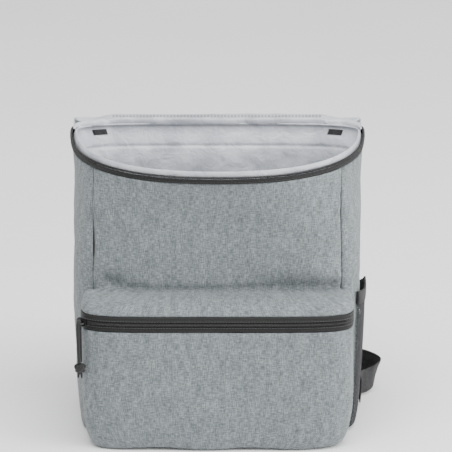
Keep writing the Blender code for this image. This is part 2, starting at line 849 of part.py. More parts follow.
def make_lid():
    lid_sheet("lid", TAPE_WALL + GAP, -LID_THICKNESS / 2, LID_THICKNESS / 2, HEATHER)
    floor = LID_THICKNESS / 2 + GAP
    lid_sheet("lid_lining", TAPE_WALL + 2 * GAP, floor, floor + LID_LINING_WALL, LINING)
    grids = []
    for inset in (0.0, TAPE_WALL):
        half = lid_outline(inset, 20)[SKIRT_START:]
        edge = [(-x, distance) for x, distance in half] + half[::-1]
        grid = []
        for stand in (-LID_THICKNESS / 2, LID_THICKNESS / 2, LID_THICKNESS / 2 + RIM_TAPE_HEIGHT):
            grid.append([lid_place(x, distance, stand) for x, distance in edge])
        grids.append(grid)
    shell("lid_zip_tape", *grids, TAPE)
    half = lid_outline(TAPE_WALL / 2, 20)[SKIRT_START:]
    edge = [(-x, distance) for x, distance in half] + half[::-1]
    out = LID_THICKNESS / 2 + RIM_TAPE_HEIGHT + COIL_DIAMETER / 2 + GAP
    tube("lid_zip_coil", [lid_place(x, distance, out) for x, distance in edge], COIL_DIAMETER, COIL, 1)


# The mesh pocket on the right side


def mesh_stand(part, row):
    """How far the mesh's inner face stands off the side, at shares of its length and height."""
    return MESH_SEAT + MESH_BULGE * math.sin(math.pi * part) ** 0.6 * (0.25 + 0.75 * row ** 0.5)


def mesh_grid(low_share, high_share, rows, wall):
    """A piece of the mesh pocket's surface between two shares of its height."""
    columns = 13
    grid = []
    for row in spaced(low_share, high_share, rows):
        line = []
        for place in range(columns):
            part = place / (columns - 1)
            turn = -MESH_FRONT_TURN + (MESH_FRONT_TURN + MESH_REAR_TURN) * part
            top = MESH_FRONT_HEIGHT + (MESH_REAR_HEIGHT - MESH_FRONT_HEIGHT) * part
            z = MESH_FOOT + (top - MESH_FOOT) * row
            point = turn_point(1, turn, share_of(z), 0.0, mesh_stand(part, row) + wall)
            line.append(Vector((point.x, point.y, z)))
        grid.append(line)
    return grid


def make_mesh_pocket():
    share = 1 - BINDING_HEIGHT / MESH_FRONT_HEIGHT
    step = GAP / MESH_FRONT_HEIGHT
    outer = mesh_grid(0.0, share - step, 9, MESH_WALL)
    inner = mesh_grid(0.0, share - step, 9, 0.0)
    shell("mesh_pocket", outer, inner, MESH)
    outer = mesh_grid(share, 1.0, 3, BINDING_WALL)
    inner = mesh_grid(share, 1.0, 3, 0.0)
    shell("mesh_binding", outer, inner, WEBBING)


# Straps and webbing


def ribbon(name, rows, width, thickness, finish):
    """A flat band along rows of a place and its width's direction. Width may be a list."""
    count = len(rows)
    path = [Vector(row[:3]) for row in rows]
    widths = width if isinstance(width, list) else [width] * count
    outer = []
    inner = []
    for index, point in enumerate(path):
        tangent = (path[min(index + 1, count - 1)] - path[max(index - 1, 0)]).normalized()
        across = Vector(rows[index][3:6])
        side = (across - across.dot(tangent) * tangent).normalized()
        half = side * widths[index] / 2
        lift = tangent.cross(side) * thickness / 2
        outer.append([point - half + lift, point + half + lift])
        inner.append([point - half - lift, point + half - lift])
    return shell(name, outer, inner, finish)


STRAP_FACE = BACK_Y + GAP + STRAP_THICKNESS / 2
STRAP_STEPS = 15

# The shoulder strap's middle line: across in half widths of the box, behind its seat in LID_HANG, share of
# STRAP_TOP, and its width's share
STRAP_LINE = (
    # across, behind, height, width
    (0.350, 0.02, 1.00, 1.00),
    (0.355, 0.08, 0.90, 1.00),
    (0.380, 0.24, 0.72, 1.00),
    (0.420, 0.36, 0.54, 0.97),
    (0.480, 0.38, 0.38, 0.86),
    (0.540, 0.34, 0.27, 0.66),
)

# The lower webbing from the frame to the bottom corner, across in half widths of the box, behind the back
# panel and up in webbing widths, and how far its width has turned from level to upright
RIGHT_WEBBING = (
    # across, behind, height, turned
    (0.640, 0.47, 1.26, 0.30),
    (0.710, 0.52, 1.00, 0.70),
    (0.797, 0.58, 0.96, 0.97),
    (0.895, 0.60, 1.02, 1.00),
    (0.986, 0.56, 1.04, 1.00),
    (1.072, 0.40, 0.96, 0.94),
    (1.132, 0.06, 0.84, 0.80),
    (1.112, -0.38, 0.70, 0.88),
    (1.062, -0.74, 0.60, 1.00),
)
LEFT_WEBBING = (
    # across, behind, height, turned
    (0.635, 0.46, 1.22, 0.34),
    (0.685, 0.40, 0.94, 0.75),
    (0.740, 0.20, 0.76, 0.98),
)
# The webbing's tail and its turn round the frame's lower bar: from the bar's middle towards the foot in bar
# widths, and forward of the frame in stands, which clear it
FRAME_TURN = (
    # foot, forward
    (5.50, 1.80),
    (2.50, 1.25),
    (0.13, 1.00),
    (-0.85, 0.92),
    (-1.17, 0.00),
    (-0.85, -0.92),
    (0.13, -1.00),
    (1.50, -1.00),
)
RIGHT_SEAT_TURNS = (0.12, -0.16)
LEFT_SEAT_TURNS = (0.79, 0.72, 0.65, 0.58, 0.51)
SEAT_HEIGHT = 0.62
WEBBING_SEAT = 0.0008
SEAT_ROW = 0.35


def make_strap(side, name):
    rows = []
    for across, behind, height, width in STRAP_LINE:
        rows.append((side * HALF_WIDTH * across, STRAP_FACE + behind * LID_HANG, STRAP_TOP * height,
                     1, 0, 0, STRAP_WIDTH * width))
    rows = smooth_rows(rows, STRAP_STEPS)
    ribbon(f"shoulder_strap_{name}", rows, list(rows[:, 6]), STRAP_THICKNESS, PADDING)
    return [Vector(row[:3]) for row in rows]


SLOT = (BUCKLE_HEIGHT - 3 * BUCKLE_BAR) / 2


def make_buckle(name, path):
    """A flat frame with two slots, below the strap's end."""
    way = (path[-1] - path[-2]).normalized()
    seat = path[-1] + way * (BUCKLE_HEIGHT / 2 + GAP)
    opening = WEBBING_WIDTH + 2 * SLOT_PLAY
    size = (BUCKLE_HEIGHT, opening + 2 * BUCKLE_BAR, BUCKLE_THICKNESS)
    frame = add_object(f"ladder_lock_{name}", box_mesh(size, BUCKLE_BEVEL), PLASTIC)
    frame.matrix_world = frame_at(seat, way, Vector((0, 1, 0)))
    for sign in (-1, 1):
        mesh = box_mesh((SLOT, opening, 4 * BUCKLE_THICKNESS), SLOT_BEVEL)
        cutter = bpy.data.objects.new(f"slot_{name}_{sign}", mesh)
        COLLECTION.objects.link(cutter)
        cutter.matrix_world = frame.matrix_world @ Matrix.Translation((sign * (SLOT + BUCKLE_BAR) / 2, 0, 0))
        cut(frame, cutter)
    return frame.matrix_world.copy()


def side_seat(side, turn, stand, height):
    """A place just off the box's lower rear, and on the right off the mesh pocket there."""
    if side > 0:
        part = (turn + MESH_FRONT_TURN) / (MESH_FRONT_TURN + MESH_REAR_TURN)
        stand += MESH_WALL + mesh_stand(part, SEAT_ROW)
    return turn_point(side, turn, share_of(height), 0.0, stand)


def make_webbing(side, name, table, turns, frame):
    """Its tail hangs in front of the frame's lower bar, and it goes down behind the bar to the box."""
    stand = BUCKLE_THICKNESS / 2 + WEBBING_THICKNESS / 2 + GAP
    bar = (BUCKLE_HEIGHT - BUCKLE_BAR) / 2
    level = frame.to_3x3() @ Vector((0, 1, 0))
    level *= math.copysign(1, level.x)
    rows = []
    for foot, forward in FRAME_TURN:
        rows.append((*(frame @ Vector((bar + foot * BUCKLE_BAR, 0, forward * stand))), *level))
    for across, behind, height, turned in table:
        angle = turned * math.pi / 2
        rows.append((side * HALF_WIDTH * across, BACK_Y + behind * WEBBING_WIDTH, height * WEBBING_WIDTH,
                     math.cos(angle), 0, side * math.sin(angle)))
    for turn in turns:
        low, high = (side_seat(side, turn, WEBBING_THICKNESS / 2 + WEBBING_SEAT, height * WEBBING_WIDTH)
                     for height in (SEAT_HEIGHT - 0.5, SEAT_HEIGHT + 0.5))
        rows.append((*((low + high) / 2), *((high - low).normalized() * side)))
    ribbon(f"lower_webbing_{name}", smooth_rows(rows, each=4), WEBBING_WIDTH, WEBBING_THICKNESS, WEBBING)


def build():
    make_front_panel()
    make_side_gusset(-1, "side_gusset_left")
    make_side_gusset(1, "side_gusset_right")
    make_back_panel()
    make_base_panel()
    make_liner()
    make_rim_tape()
    make_rim_coil()
    coil_line = make_pocket()
    make_pocket_pull(coil_line)
    make_lid()
    make_mesh_pocket()
    for side, name, table, turns in ((-1, "left", LEFT_WEBBING, LEFT_SEAT_TURNS),
                                     (1, "right", RIGHT_WEBBING, RIGHT_SEAT_TURNS)):
        path = make_strap(side, name)
        frame = make_buckle(name, path)
        make_webbing(side, name, table, turns, frame)


build()
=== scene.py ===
# %% [markdown]
# # A cooler backpack
# This lesson dresses a soft, insulated box bag. The bag is sewn from heather grey polyester over thin foam,
# lined with a silver-grey coated film, and closed by black coil zips. Its lid is open and folded back
# behind, so we look into the lining.
# The fixed frame holds the plain solids of every part. We never move them. We build each soft piece again
# as a fine mesh on the same surface, and let it stand for the solid.

# %% Load the frame
import math

import bmesh
import bpy
import numpy as np
from mathutils import Matrix, Vector


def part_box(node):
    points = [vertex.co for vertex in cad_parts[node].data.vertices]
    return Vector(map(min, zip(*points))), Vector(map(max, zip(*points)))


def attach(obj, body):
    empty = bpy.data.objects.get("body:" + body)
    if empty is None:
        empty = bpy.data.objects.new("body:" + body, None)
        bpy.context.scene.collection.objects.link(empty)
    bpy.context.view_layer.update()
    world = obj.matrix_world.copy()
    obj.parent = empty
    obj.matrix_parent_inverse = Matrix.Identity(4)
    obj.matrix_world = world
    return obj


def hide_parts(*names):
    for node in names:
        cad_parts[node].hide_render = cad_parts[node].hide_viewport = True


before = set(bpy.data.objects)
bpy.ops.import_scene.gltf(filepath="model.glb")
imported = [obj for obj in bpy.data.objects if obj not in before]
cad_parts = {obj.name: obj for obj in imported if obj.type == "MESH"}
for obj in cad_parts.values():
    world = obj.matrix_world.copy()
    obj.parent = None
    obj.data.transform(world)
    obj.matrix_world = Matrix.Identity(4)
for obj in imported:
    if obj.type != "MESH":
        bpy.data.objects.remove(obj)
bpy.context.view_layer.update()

BODY = "root"

# %% [markdown]
# ## The bag's sizes
# A sewn bag is a few flat panels, so a few sizes say all of it. They are in metres, as in the frame:
# X runs across, Y runs from the front to the back, Z is up, and the base stands on Z = 0.

# %% Sizes of the box
BODY_WIDTH = 0.286
BODY_DEPTH = 0.150
BODY_HEIGHT = 0.277
RIM_RISE = 0.006
REAR_ROUND = 0.034
REAR_EXPONENT = 4.0
FRONT_CORNER = 0.020
REAR_CORNER = 0.025
WALL = 0.0025
GAP = 0.0003
SEAM_GAP = 0.0006
BASE_THICKNESS = 0.003
SIDES = ((-1, "left"), (1, "right"))

HALF_WIDTH = BODY_WIDTH / 2
BACK_Y = BODY_DEPTH / 2
WIDEST_Y = BACK_Y - REAR_ROUND
FRONT_REACH = WIDEST_Y + BODY_DEPTH / 2
FRONT_SEAM = HALF_WIDTH - FRONT_CORNER
REAR_SEAM = HALF_WIDTH - REAR_CORNER

# Level sections from the base to the rim. The rim is rounder than the base and leans out at the front.
BODY_SECTIONS = (
    # height, half_width, front, exponent
    (0.00, 0.955, 0.975, 6.0),
    (0.06, 0.968, 0.990, 6.5),
    (0.20, 0.985, 1.000, 7.0),
    (0.55, 1.000, 1.000, 7.0),
    (0.72, 1.000, 1.030, 5.2),
    (0.86, 1.000, 1.090, 3.6),
    (0.95, 1.008, 1.150, 2.7),
    (1.00, 1.020, 1.185, 2.35),
)
RIM_FRONT_Y = WIDEST_Y - FRONT_REACH * BODY_SECTIONS[-1][2]

# Dents of the front: place in half widths and heights, reach, depth in walls
FRONT_DENTS = (
    # across, up, reach_across, reach_up, depth
    (-0.74, 0.600, 0.16, 0.040, 1.3),
    (0.78, 0.625, 0.16, 0.035, -1.2),
    (0.45, 0.590, 0.22, 0.030, 0.9),
    (0.00, 0.800, 0.60, 0.120, 0.8),
)

# %% [markdown]
# ## Surfaces as functions
# Each panel is part of one smooth surface, so we write that surface once, as a function of two numbers.
# We could model a cage and subdivide it, but a function lets every stitch, fold and tape find its place on
# the cloth by itself. The level outline is a superellipse, |x/a|^n + |y/b|^n = 1, whose exponent n says how
# square the corners are. numpy works out whole grids at once.

# %% Smooth curves through short tables
FLAT = 1e-9


def curve(table, place, share):
    """A column of a table at shares of its first column, by smooth curves."""
    rows = np.array(sorted(table), dtype=float)
    shares = rows[:, 0]
    values = rows[:, place]
    slopes = np.gradient(values, shares)
    for index, step in enumerate(np.diff(values)):
        if abs(step) < FLAT:
            slopes[index:index + 2] = 0.0
    share = np.clip(share, shares[0], shares[-1])
    index = np.clip(np.searchsorted(shares, share, side="right") - 1, 0, len(shares) - 2)
    width = shares[index + 1] - shares[index]
    t = (share - shares[index]) / width
    start = (2 * t ** 3 - 3 * t ** 2 + 1) * values[index] + (t ** 3 - 2 * t ** 2 + t) * width * slopes[index]
    end = (3 * t ** 2 - 2 * t ** 3) * values[index + 1] + (t ** 3 - t ** 2) * width * slopes[index + 1]
    return start + end


def walked(line):
    """How far each place of a line is along it."""
    return np.concatenate([[0], np.cumsum(np.linalg.norm(np.diff(line, axis=0), axis=1))])


def unit(ways):
    """The same directions with length one."""
    return ways / np.linalg.norm(ways, axis=-1, keepdims=True)


def eased(share):
    """A share from 0 to 1 that sets off and arrives gently."""
    share = np.clip(share, 0, 1)
    return share * share * (3 - 2 * share)


def between(a, b, c, d, t):
    """The smooth curve from b to c at shares t of the way, a and d being their neighbours."""
    return 0.5 * (2 * b + (c - a) * t + (2 * a - 5 * b + 4 * c - d) * t ** 2
                  + (3 * b - a - 3 * c + d) * t ** 3)


def smooth_rows(rows, count=0, each=24):
    """Rows on the curve through a few chosen rows, whose first three numbers are a place."""
    knots = np.array(rows, dtype=float)
    knots = np.vstack([2 * knots[0] - knots[1], knots, 2 * knots[-1] - knots[-2]])
    t = (np.arange(each) / each)[:, None]
    dense = [between(*knots[start - 1:start + 3], t) for start in range(1, len(knots) - 2)]
    dense = np.vstack([*dense, knots[-2:-1]])
    return spaced_rows(dense, count) if count else dense


def spaced_rows(dense, count):
    """Rows spaced evenly by the way between their places."""
    way = walked(dense[:, :3])
    places = np.linspace(0, way[-1], count)
    return np.stack([np.interp(places, way, dense[:, axis]) for axis in range(dense.shape[1])], axis=1)


# %% [markdown]
# The front and the back are each a height field: for every place across and every share of the height, how
# far forward or back the cloth stands. Four soft dents keep the front from looking moulded.

# %% The box's front, back and outline
def section(share):
    """Half width, front reach and corner exponent at shares of the height."""
    return (HALF_WIDTH * curve(BODY_SECTIONS, 1, share), FRONT_REACH * curve(BODY_SECTIONS, 2, share),
            curve(BODY_SECTIONS, 3, share))


def rim_height(y):
    return BODY_HEIGHT + RIM_RISE * (y - RIM_FRONT_Y) / (BACK_Y - RIM_FRONT_Y)


def front_dent(x, share):
    """How far the front is pushed back."""
    depth = 0.0
    for across, up, reach_across, reach_up, walls in FRONT_DENTS:
        near = ((x / HALF_WIDTH - across) / reach_across) ** 2 + ((share - up) / reach_up) ** 2
        depth = depth + WALL * walls * np.exp(-near)
    return depth


def superellipse(ratio, exponent):
    return (1 - np.minimum(np.abs(ratio), 1.0) ** exponent) ** (1 / exponent)


def front_place(x, share, inset=0.0):
    half, reach, exponent = section(share)
    y = WIDEST_Y - (reach - inset) * superellipse(x / (half - inset), exponent) + front_dent(x, share)
    return np.stack(np.broadcast_arrays(x, y, share * rim_height(y)), axis=-1)


def back_place(x, share, inset=0.0):
    half = section(share)[0] - inset
    y = WIDEST_Y + (REAR_ROUND - inset) * superellipse(x / half, REAR_EXPONENT)
    return np.stack(np.broadcast_arrays(x, y, share * rim_height(BACK_Y)), axis=-1)


# %% [markdown]
# The mesh pocket on the right presses the side in a little, so the outline has that dent too. The outline is
# walked by a turn: zero where the bag is widest, negative to the front and positive to the back.

# %% The outline by turns
SIDE_PRESS = 0.0022
MESH_FRONT_HEIGHT = 0.148
MESH_REAR_HEIGHT = 0.118
MESH_FRONT_TURN = math.radians(40.4)
MESH_REAR_TURN = math.radians(35.5)


def side_press(share, turn):
    top = MESH_REAR_HEIGHT / BODY_HEIGHT
    level = np.exp(-((share - 0.8 * top) / (0.7 * top)) ** 4)
    return SIDE_PRESS * level * np.exp(-(turn / MESH_REAR_TURN) ** 4)


def turn_place(side, turn, share, inset=0.0, stand=0.0):
    """A place on the outline, drawn in by an inset and let out by a stand."""
    turn, share, off = np.broadcast_arrays(turn, share, np.asarray(stand) - inset)
    half, reach, exponent = section(share)
    rear = turn > 0
    reach = np.where(rear, REAR_ROUND, reach) + off
    exponent = np.where(rear, REAR_EXPONENT, exponent)
    c, s = np.cos(turn), np.sin(turn)
    radius = (np.abs(c) ** exponent + np.abs(s) ** exponent) ** (-1 / exponent)
    x = (half + off) * radius * c
    y = WIDEST_Y + reach * radius * s
    if side > 0:
        x = x - side_press(share, turn)
    y = y + np.where(rear, 0.0, -front_dent(side * x, share) * s)
    return np.stack([side * x, y, share * rim_height(y)], axis=-1)


def seam_turn(seam, half, exponent):
    """The turn at which the outline is a seam's distance from the middle."""
    return np.arctan(((half / seam) ** exponent - 1) ** (1 / exponent))


for name, place in (("front_panel", front_place(0.0, 0.5)), ("back_panel", back_place(0.0, 0.5))):
    low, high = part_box(name)
    print(name, "frame y", round(low.y, 4), "to", round(high.y, 4), "surface y", round(float(place[1]), 4))

# %% [markdown]
# ## The front pocket's surface
# The zipped pocket is a shallow box sewn on the front. Its top, the hood, slopes down from a crease to the
# zip. The surface is walked by a turn from its right edge (0) to its left edge (pi), and by rows of a table.

# %% The pocket by turns and rows
POCKET_HEIGHT = 0.156
POCKET_DEPTH = 0.036
POCKET_MARGIN = 0.007
POCKET_EXPONENT = 6.0
POCKET_WALL = 0.002
POCKET_SEAT = 0.0012
POCKET_FACE_ROW = 3
POCKET_FOOT_ROW = 8
POCKET_FRONT_Y = -BODY_DEPTH / 2 - POCKET_DEPTH
POCKET_HALF_WIDTH = HALF_WIDTH - POCKET_MARGIN
POCKET_SECTIONS = (
    # height, half_width, depth
    (1.000, 0.930, 0.050),
    (0.985, 0.955, 0.420),
    (0.955, 0.972, 0.780),
    (0.896, 0.985, 0.960),
    (0.800, 0.990, 1.000),
    (0.500, 0.990, 1.030),
    (0.240, 0.982, 1.020),
    (0.110, 0.962, 1.000),
    (0.040, 0.932, 0.970),
    (0.008, 0.900, 0.880),
    (0.004, 0.870, 0.450),
    (0.004, 0.850, 0.060),
)
POCKET_LAST = len(POCKET_SECTIONS) - 1
MIDDLE = math.pi / 2


def front_level(x, height):
    """The front's place at a height instead of a share."""
    y = front_place(x, height / BODY_HEIGHT)[..., 1]
    return front_place(x, height / rim_height(y))[..., 1]


def pocket_place(turn, row):
    table = np.array(POCKET_SECTIONS)
    turn, row = np.broadcast_arrays(turn, np.asarray(row, dtype=float))
    low = np.minimum(np.floor(row), POCKET_LAST - 1).astype(int)
    t = (row - low)[..., None]
    a, b, c, d = (table[np.clip(low + step, 0, POCKET_LAST)] for step in (-1, 0, 1, 2))
    shares = between(a, b, c, d, t)
    z = POCKET_HEIGHT * np.maximum(shares[..., 0], POCKET_SECTIONS[-1][0])
    half = POCKET_HALF_WIDTH * shares[..., 1]
    edge = front_place(half, z / BODY_HEIGHT)[..., 1] - POCKET_SEAT
    c, s = np.cos(turn), np.sin(turn)
    radius = (np.abs(c) ** POCKET_EXPONENT + np.abs(s) ** POCKET_EXPONENT) ** (-1 / POCKET_EXPONENT)
    x = half * radius * c
    y = edge - (edge - POCKET_FRONT_Y) * shares[..., 2] * radius * s
    inside = np.abs(x) < section(z / BODY_HEIGHT)[0]
    y = np.where(inside, np.minimum(y, front_level(x, z) - POCKET_SEAT), y)
    return np.stack([x, y, z], axis=-1)


def pocket_row(height):
    """The row at which the pocket's front has a height."""
    rows = np.linspace(0, POCKET_FOOT_ROW, 4001)
    heights = pocket_place(MIDDLE, rows)[:, 2]
    return float(np.interp(-height, -heights, rows))


POCKET_TAPE_HEIGHT = 0.0155
POCKET_ZIP_TOP = POCKET_SECTIONS[POCKET_FACE_ROW][0] * POCKET_HEIGHT
POCKET_ZIP_FOOT = POCKET_ZIP_TOP - POCKET_TAPE_HEIGHT
HOOD_FOOT = pocket_row(POCKET_ZIP_TOP + GAP)
FRONT_HEAD = pocket_row(POCKET_ZIP_FOOT - GAP)
ZIP_ROW = pocket_row((POCKET_ZIP_TOP + POCKET_ZIP_FOOT) / 2)
print("the pocket's zip runs from", round(POCKET_ZIP_FOOT, 4), "to", round(POCKET_ZIP_TOP, 4), "m up")

# %% [markdown]
# ## The camera
# The product was photographed from far away with a long lens, from the front and a little above: its sides
# stay upright, and the rim shows as an ellipse. The two upright seams and the ellipse's height give about
# 18 degrees. A pixel of the 452-pixel image is very nearly a millimetre at the bag.

# %% Set the camera
IMAGE = 452
PIXEL = 0.00100
ELEVATION = math.radians(18)
VIEW_DISTANCE = 5.0
SENSOR = 36.0
CLIP_END = 20
AIM = Vector((0, 0, 0.14))
AIM_PIXEL = (217.5, 281.5)


def set_camera():
    back = Vector((0, -math.cos(ELEVATION), math.sin(ELEVATION)))
    right = Vector((1, 0, 0))
    up = right.cross(-back)
    across = (IMAGE / 2 - AIM_PIXEL[0]) * PIXEL
    over = (AIM_PIXEL[1] - IMAGE / 2) * PIXEL
    data = bpy.data.cameras.new("view")
    data.sensor_width = SENSOR
    data.lens = SENSOR * VIEW_DISTANCE / (IMAGE * PIXEL)
    data.clip_end = CLIP_END
    camera = bpy.data.objects.new("view", data)
    camera.location = AIM + back * VIEW_DISTANCE + right * across + up * over
    camera.rotation_euler = back.to_track_quat("Z", "Y").to_euler()
    bpy.context.scene.collection.objects.link(camera)
    bpy.context.scene.camera = camera
    print("lens", round(data.lens, 1), "mm")


set_camera()

# %% [markdown]
# ## Colours and nodes
# Fabric colours are read as sRGB hex values, as a colour picker shows them. Shaders work in linear light, so
# one function turns the one into the other. A second small function adds a node with its settings and links,
# and a last one lets a pattern colour a finish and bump it, which keeps every material below down to what it
# is about.

# %% Helpers for materials
def linear(hex_code):
    """Linear colour of a six-digit sRGB value."""
    channels = [int(hex_code[start:start + 2], 16) / 255 for start in (0, 2, 4)]
    return (*(c / 12.92 if c <= 0.04045 else ((c + 0.055) / 1.055) ** 2.4 for c in channels), 1.0)


def add(tree, kind, values=None, links=None, **settings):
    """A node with its settings, socket values and links from other nodes' outputs."""
    made = tree.nodes.new(kind)
    for key, value in settings.items():
        setattr(made, key, value)
    for socket, value in (values or {}).items():
        made.inputs[socket].default_value = value
    for socket, source in (links or {}).items():
        other, output = source if isinstance(source, tuple) else (source, 0)
        tree.links.new(other.outputs[output], made.inputs[socket])
    return made


def new_material(name, roughness, ior=1.5, metallic=0.0):
    """An empty Principled material, and its tree and shader."""
    made = bpy.data.materials.new(name)
    made.use_nodes = True
    shader = made.node_tree.nodes["Principled BSDF"]
    shader.inputs["Roughness"].default_value = roughness
    shader.inputs["IOR"].default_value = ior
    shader.inputs["Metallic"].default_value = metallic
    return made, made.node_tree, shader


def colour_and_bump(tree, shader, factor, stops, height=None, strength=0.0, distance=0.0):
    """Colours a shader by a pattern, with hex colours at places from 0 to 1, and bumps it by a height."""
    shade = add(tree, "ShaderNodeValToRGB", links={"Fac": factor})
    elements = shade.color_ramp.elements
    while len(elements) < len(stops):
        elements.new(0.5)
    for element, (place, hex_code) in zip(elements, stops):
        element.position = place
        element.color = linear(hex_code)
    tree.links.new(shade.outputs["Color"], shader.inputs["Base Color"])
    if height is not None:
        bump = add(tree, "ShaderNodeBump", links={"Height": height},
                   values={"Strength": strength, "Distance": distance})
        tree.links.new(bump.outputs["Normal"], shader.inputs["Normal"])


# %% [markdown]
# ## Heather polyester
# The outer cloth is a plain-woven polyester of about 600 denier. Heather means that dark and light fibres are
# spun together, so each thread changes shade along its length, and the cloth looks flecked both ways. Real
# threads here are about 0.45 mm apart, half a pixel of the picture, so they are drawn 0.9 mm apart. We could
# paint an image. Noise stretched along each thread gives the same flecks at any size, with no repeat.

# %% Weave the heather cloth
THREAD = 0.0009
FLECK_LENGTH = 0.0055
CLOUD_WIDTH = 0.006
CLOUD_LENGTH = 0.022
CLOUD_SHARE = 0.17
WEFT_OFFSET = 31.7
CLOUD_OFFSET = 7.1
THREAD_BUMP = 0.0004
METRES = "ClothUV"


def stretched_noise(tree, place, across, along, detail=2.0, offset=0.0):
    """Noise whose flecks are across metres wide and along metres tall."""
    scaled = add(tree, "ShaderNodeMapping", links={"Vector": place},
                 values={"Scale": (1 / across, 1 / along, 1.0), "Location": (offset, offset, 0.0)})
    return add(tree, "ShaderNodeTexNoise", links={"Vector": scaled}, noise_dimensions="2D",
               values={"Scale": 1.0, "Detail": detail, "Roughness": 0.55})


def heather_cloth(name, dark, middle, light):
    """Plain weave in which both threads change shade, with a low bump for the threads."""
    made, tree, shader = new_material(name, 0.88)
    shader.inputs["Sheen Weight"].default_value = 0.12
    shader.inputs["Sheen Roughness"].default_value = 0.5
    shader.inputs["Specular IOR Level"].default_value = 0.3
    place = add(tree, "ShaderNodeUVMap", uv_map=METRES)
    warp = stretched_noise(tree, (place, "UV"), THREAD, FLECK_LENGTH)
    weft = stretched_noise(tree, (place, "UV"), FLECK_LENGTH, THREAD, offset=WEFT_OFFSET)
    both = add(tree, "ShaderNodeMix", data_type="FLOAT", values={"Factor": 0.5},
               links={"A": (warp, "Fac"), "B": (weft, "Fac")})
    cloud = stretched_noise(tree, (place, "UV"), CLOUD_WIDTH, CLOUD_LENGTH, offset=CLOUD_OFFSET)
    mixed = add(tree, "ShaderNodeMix", data_type="FLOAT", values={"Factor": CLOUD_SHARE},
                links={"A": both, "B": (cloud, "Fac")})
    over = add(tree, "ShaderNodeMapping", links={"Vector": (place, "UV")},
               values={"Scale": (math.pi / THREAD, math.pi / THREAD, 1.0)})
    split = add(tree, "ShaderNodeSeparateXYZ", links={"Vector": over})
    across = add(tree, "ShaderNodeMath", operation="SINE", links={0: (split, "X")})
    along = add(tree, "ShaderNodeMath", operation="SINE", links={0: (split, "Y")})
    weave = add(tree, "ShaderNodeMath", operation="MULTIPLY", links={0: across, 1: along})
    height = add(tree, "ShaderNodeMath", operation="MULTIPLY_ADD", values={1: 0.6},
                 links={0: weave, 2: (both, 0)})
    colour_and_bump(tree, shader, mixed, ((0.36, dark), (0.50, middle), (0.64, light)),
                    height, 0.35, THREAD_BUMP)
    return made


HEATHER = heather_cloth("heather_polyester_canvas", "505658", "6B7274", "888E91")
print("heather threads drawn", THREAD * 1000, "mm apart")

# %% [markdown]
# ## Silver lining
# The lining is a soft PEVA film with a silver-grey coat, heat-sealed and wipe-clean. It is smoother than
# cloth, so folds catch long soft highlights. A small crumple in the bump breaks those up, as on a film that
# has been folded flat in its box. Its colour carries soft patches of painted shade and painted reflection.

# %% Coat the lining
PAINTED_SHADE_SIZE = 0.030
CRUMPLE = 0.016
CRUMPLE_BUMP = 0.0035


def film(name, dark, light, roughness):
    made, tree, shader = new_material(name, roughness, ior=1.46)
    shader.inputs["Coat Weight"].default_value = 0.15
    shader.inputs["Coat Roughness"].default_value = 0.3
    place = add(tree, "ShaderNodeTexCoord")
    # This noise paints soft patches of shade and reflection into the film's colour, about 30 mm across.
    shade = add(tree, "ShaderNodeTexNoise", links={"Vector": (place, "Object")},
                values={"Scale": 1 / PAINTED_SHADE_SIZE, "Detail": 3.0, "Roughness": 0.55})
    crease = add(tree, "ShaderNodeTexNoise", links={"Vector": (place, "Object")},
                 values={"Scale": 1 / CRUMPLE, "Detail": 5.0, "Roughness": 0.6, "Distortion": 0.6})
    colour_and_bump(tree, shader, (shade, "Fac"), ((0.35, dark), (0.65, light)),
                    (crease, "Fac"), 0.7, CRUMPLE_BUMP)
    return made


LINING = film("silver_peva_film", "A9ACB3", "C4C6CC", 0.36)

# %% [markdown]
# ## Woven black goods
# Zip tape, webbing and edge binding are narrow woven polyester. Their ribs run along the length, so the
# pattern is bands across the width. The real ribs are about half a millimetre apart on tape and 1 mm on
# webbing, and are drawn 1 mm and 1.6 mm apart so that they show. The black is never pure: dyed yarn reads as
# a very dark warm grey. The ribs' tops are painted a little lighter, as painted highlight, and the grooves a
# little darker, as painted shade.

# %% Weave tape, webbing and binding
YARN_SHARE = 0.6
FIBRE_SHARE = 0.7
RIB_BUMP_SHARE = 0.15


def ribbed(name, dark, light, rib, roughness=0.75, strength=0.6, slub=0.006):
    """Narrow woven cloth: ribs along its length and fine yarns across."""
    made, tree, shader = new_material(name, roughness)
    shader.inputs["Sheen Weight"].default_value = 0.08
    shader.inputs["Specular IOR Level"].default_value = 0.35
    place = add(tree, "ShaderNodeUVMap", uv_map=METRES)
    over = add(tree, "ShaderNodeMapping", links={"Vector": (place, "UV")},
               values={"Scale": (2 * math.pi / rib, 2 * math.pi / (rib * YARN_SHARE), 1.0)})
    split = add(tree, "ShaderNodeSeparateXYZ", links={"Vector": over})
    ribs = add(tree, "ShaderNodeMath", operation="SINE", links={0: (split, "X")})
    yarns = add(tree, "ShaderNodeMath", operation="SINE", links={0: (split, "Y")})
    height = add(tree, "ShaderNodeMath", operation="MULTIPLY_ADD", values={1: 0.35},
                 links={0: yarns, 2: ribs})
    fibre = stretched_noise(tree, (place, "UV"), rib * FIBRE_SHARE, slub)
    # The colour is the fibre's own random tone, plus painted highlight on the ribs' tops and painted shade in
    # their grooves, taken from the bump's height.
    fibre_tone_and_rib_highlight = add(tree, "ShaderNodeMath", operation="MULTIPLY_ADD", values={1: 0.12},
                links={0: height, 2: (fibre, "Fac")})
    colour_and_bump(tree, shader, fibre_tone_and_rib_highlight, ((0.30, dark), (0.70, light)),
                    height, strength, rib * RIB_BUMP_SHARE)
    return made


TAPE = ribbed("woven_zip_tape", "0C0C0C", "1B1B1A", 0.0010)
WEBBING = ribbed("woven_webbing", "1A1A1B", "303032", 0.0016)
BINDING = ribbed("woven_edge_binding", "141415", "28282A", 0.0008)
CORD = ribbed("braided_pull_cord", "111112", "232324", 0.0009, 0.7, 0.8, 0.002)

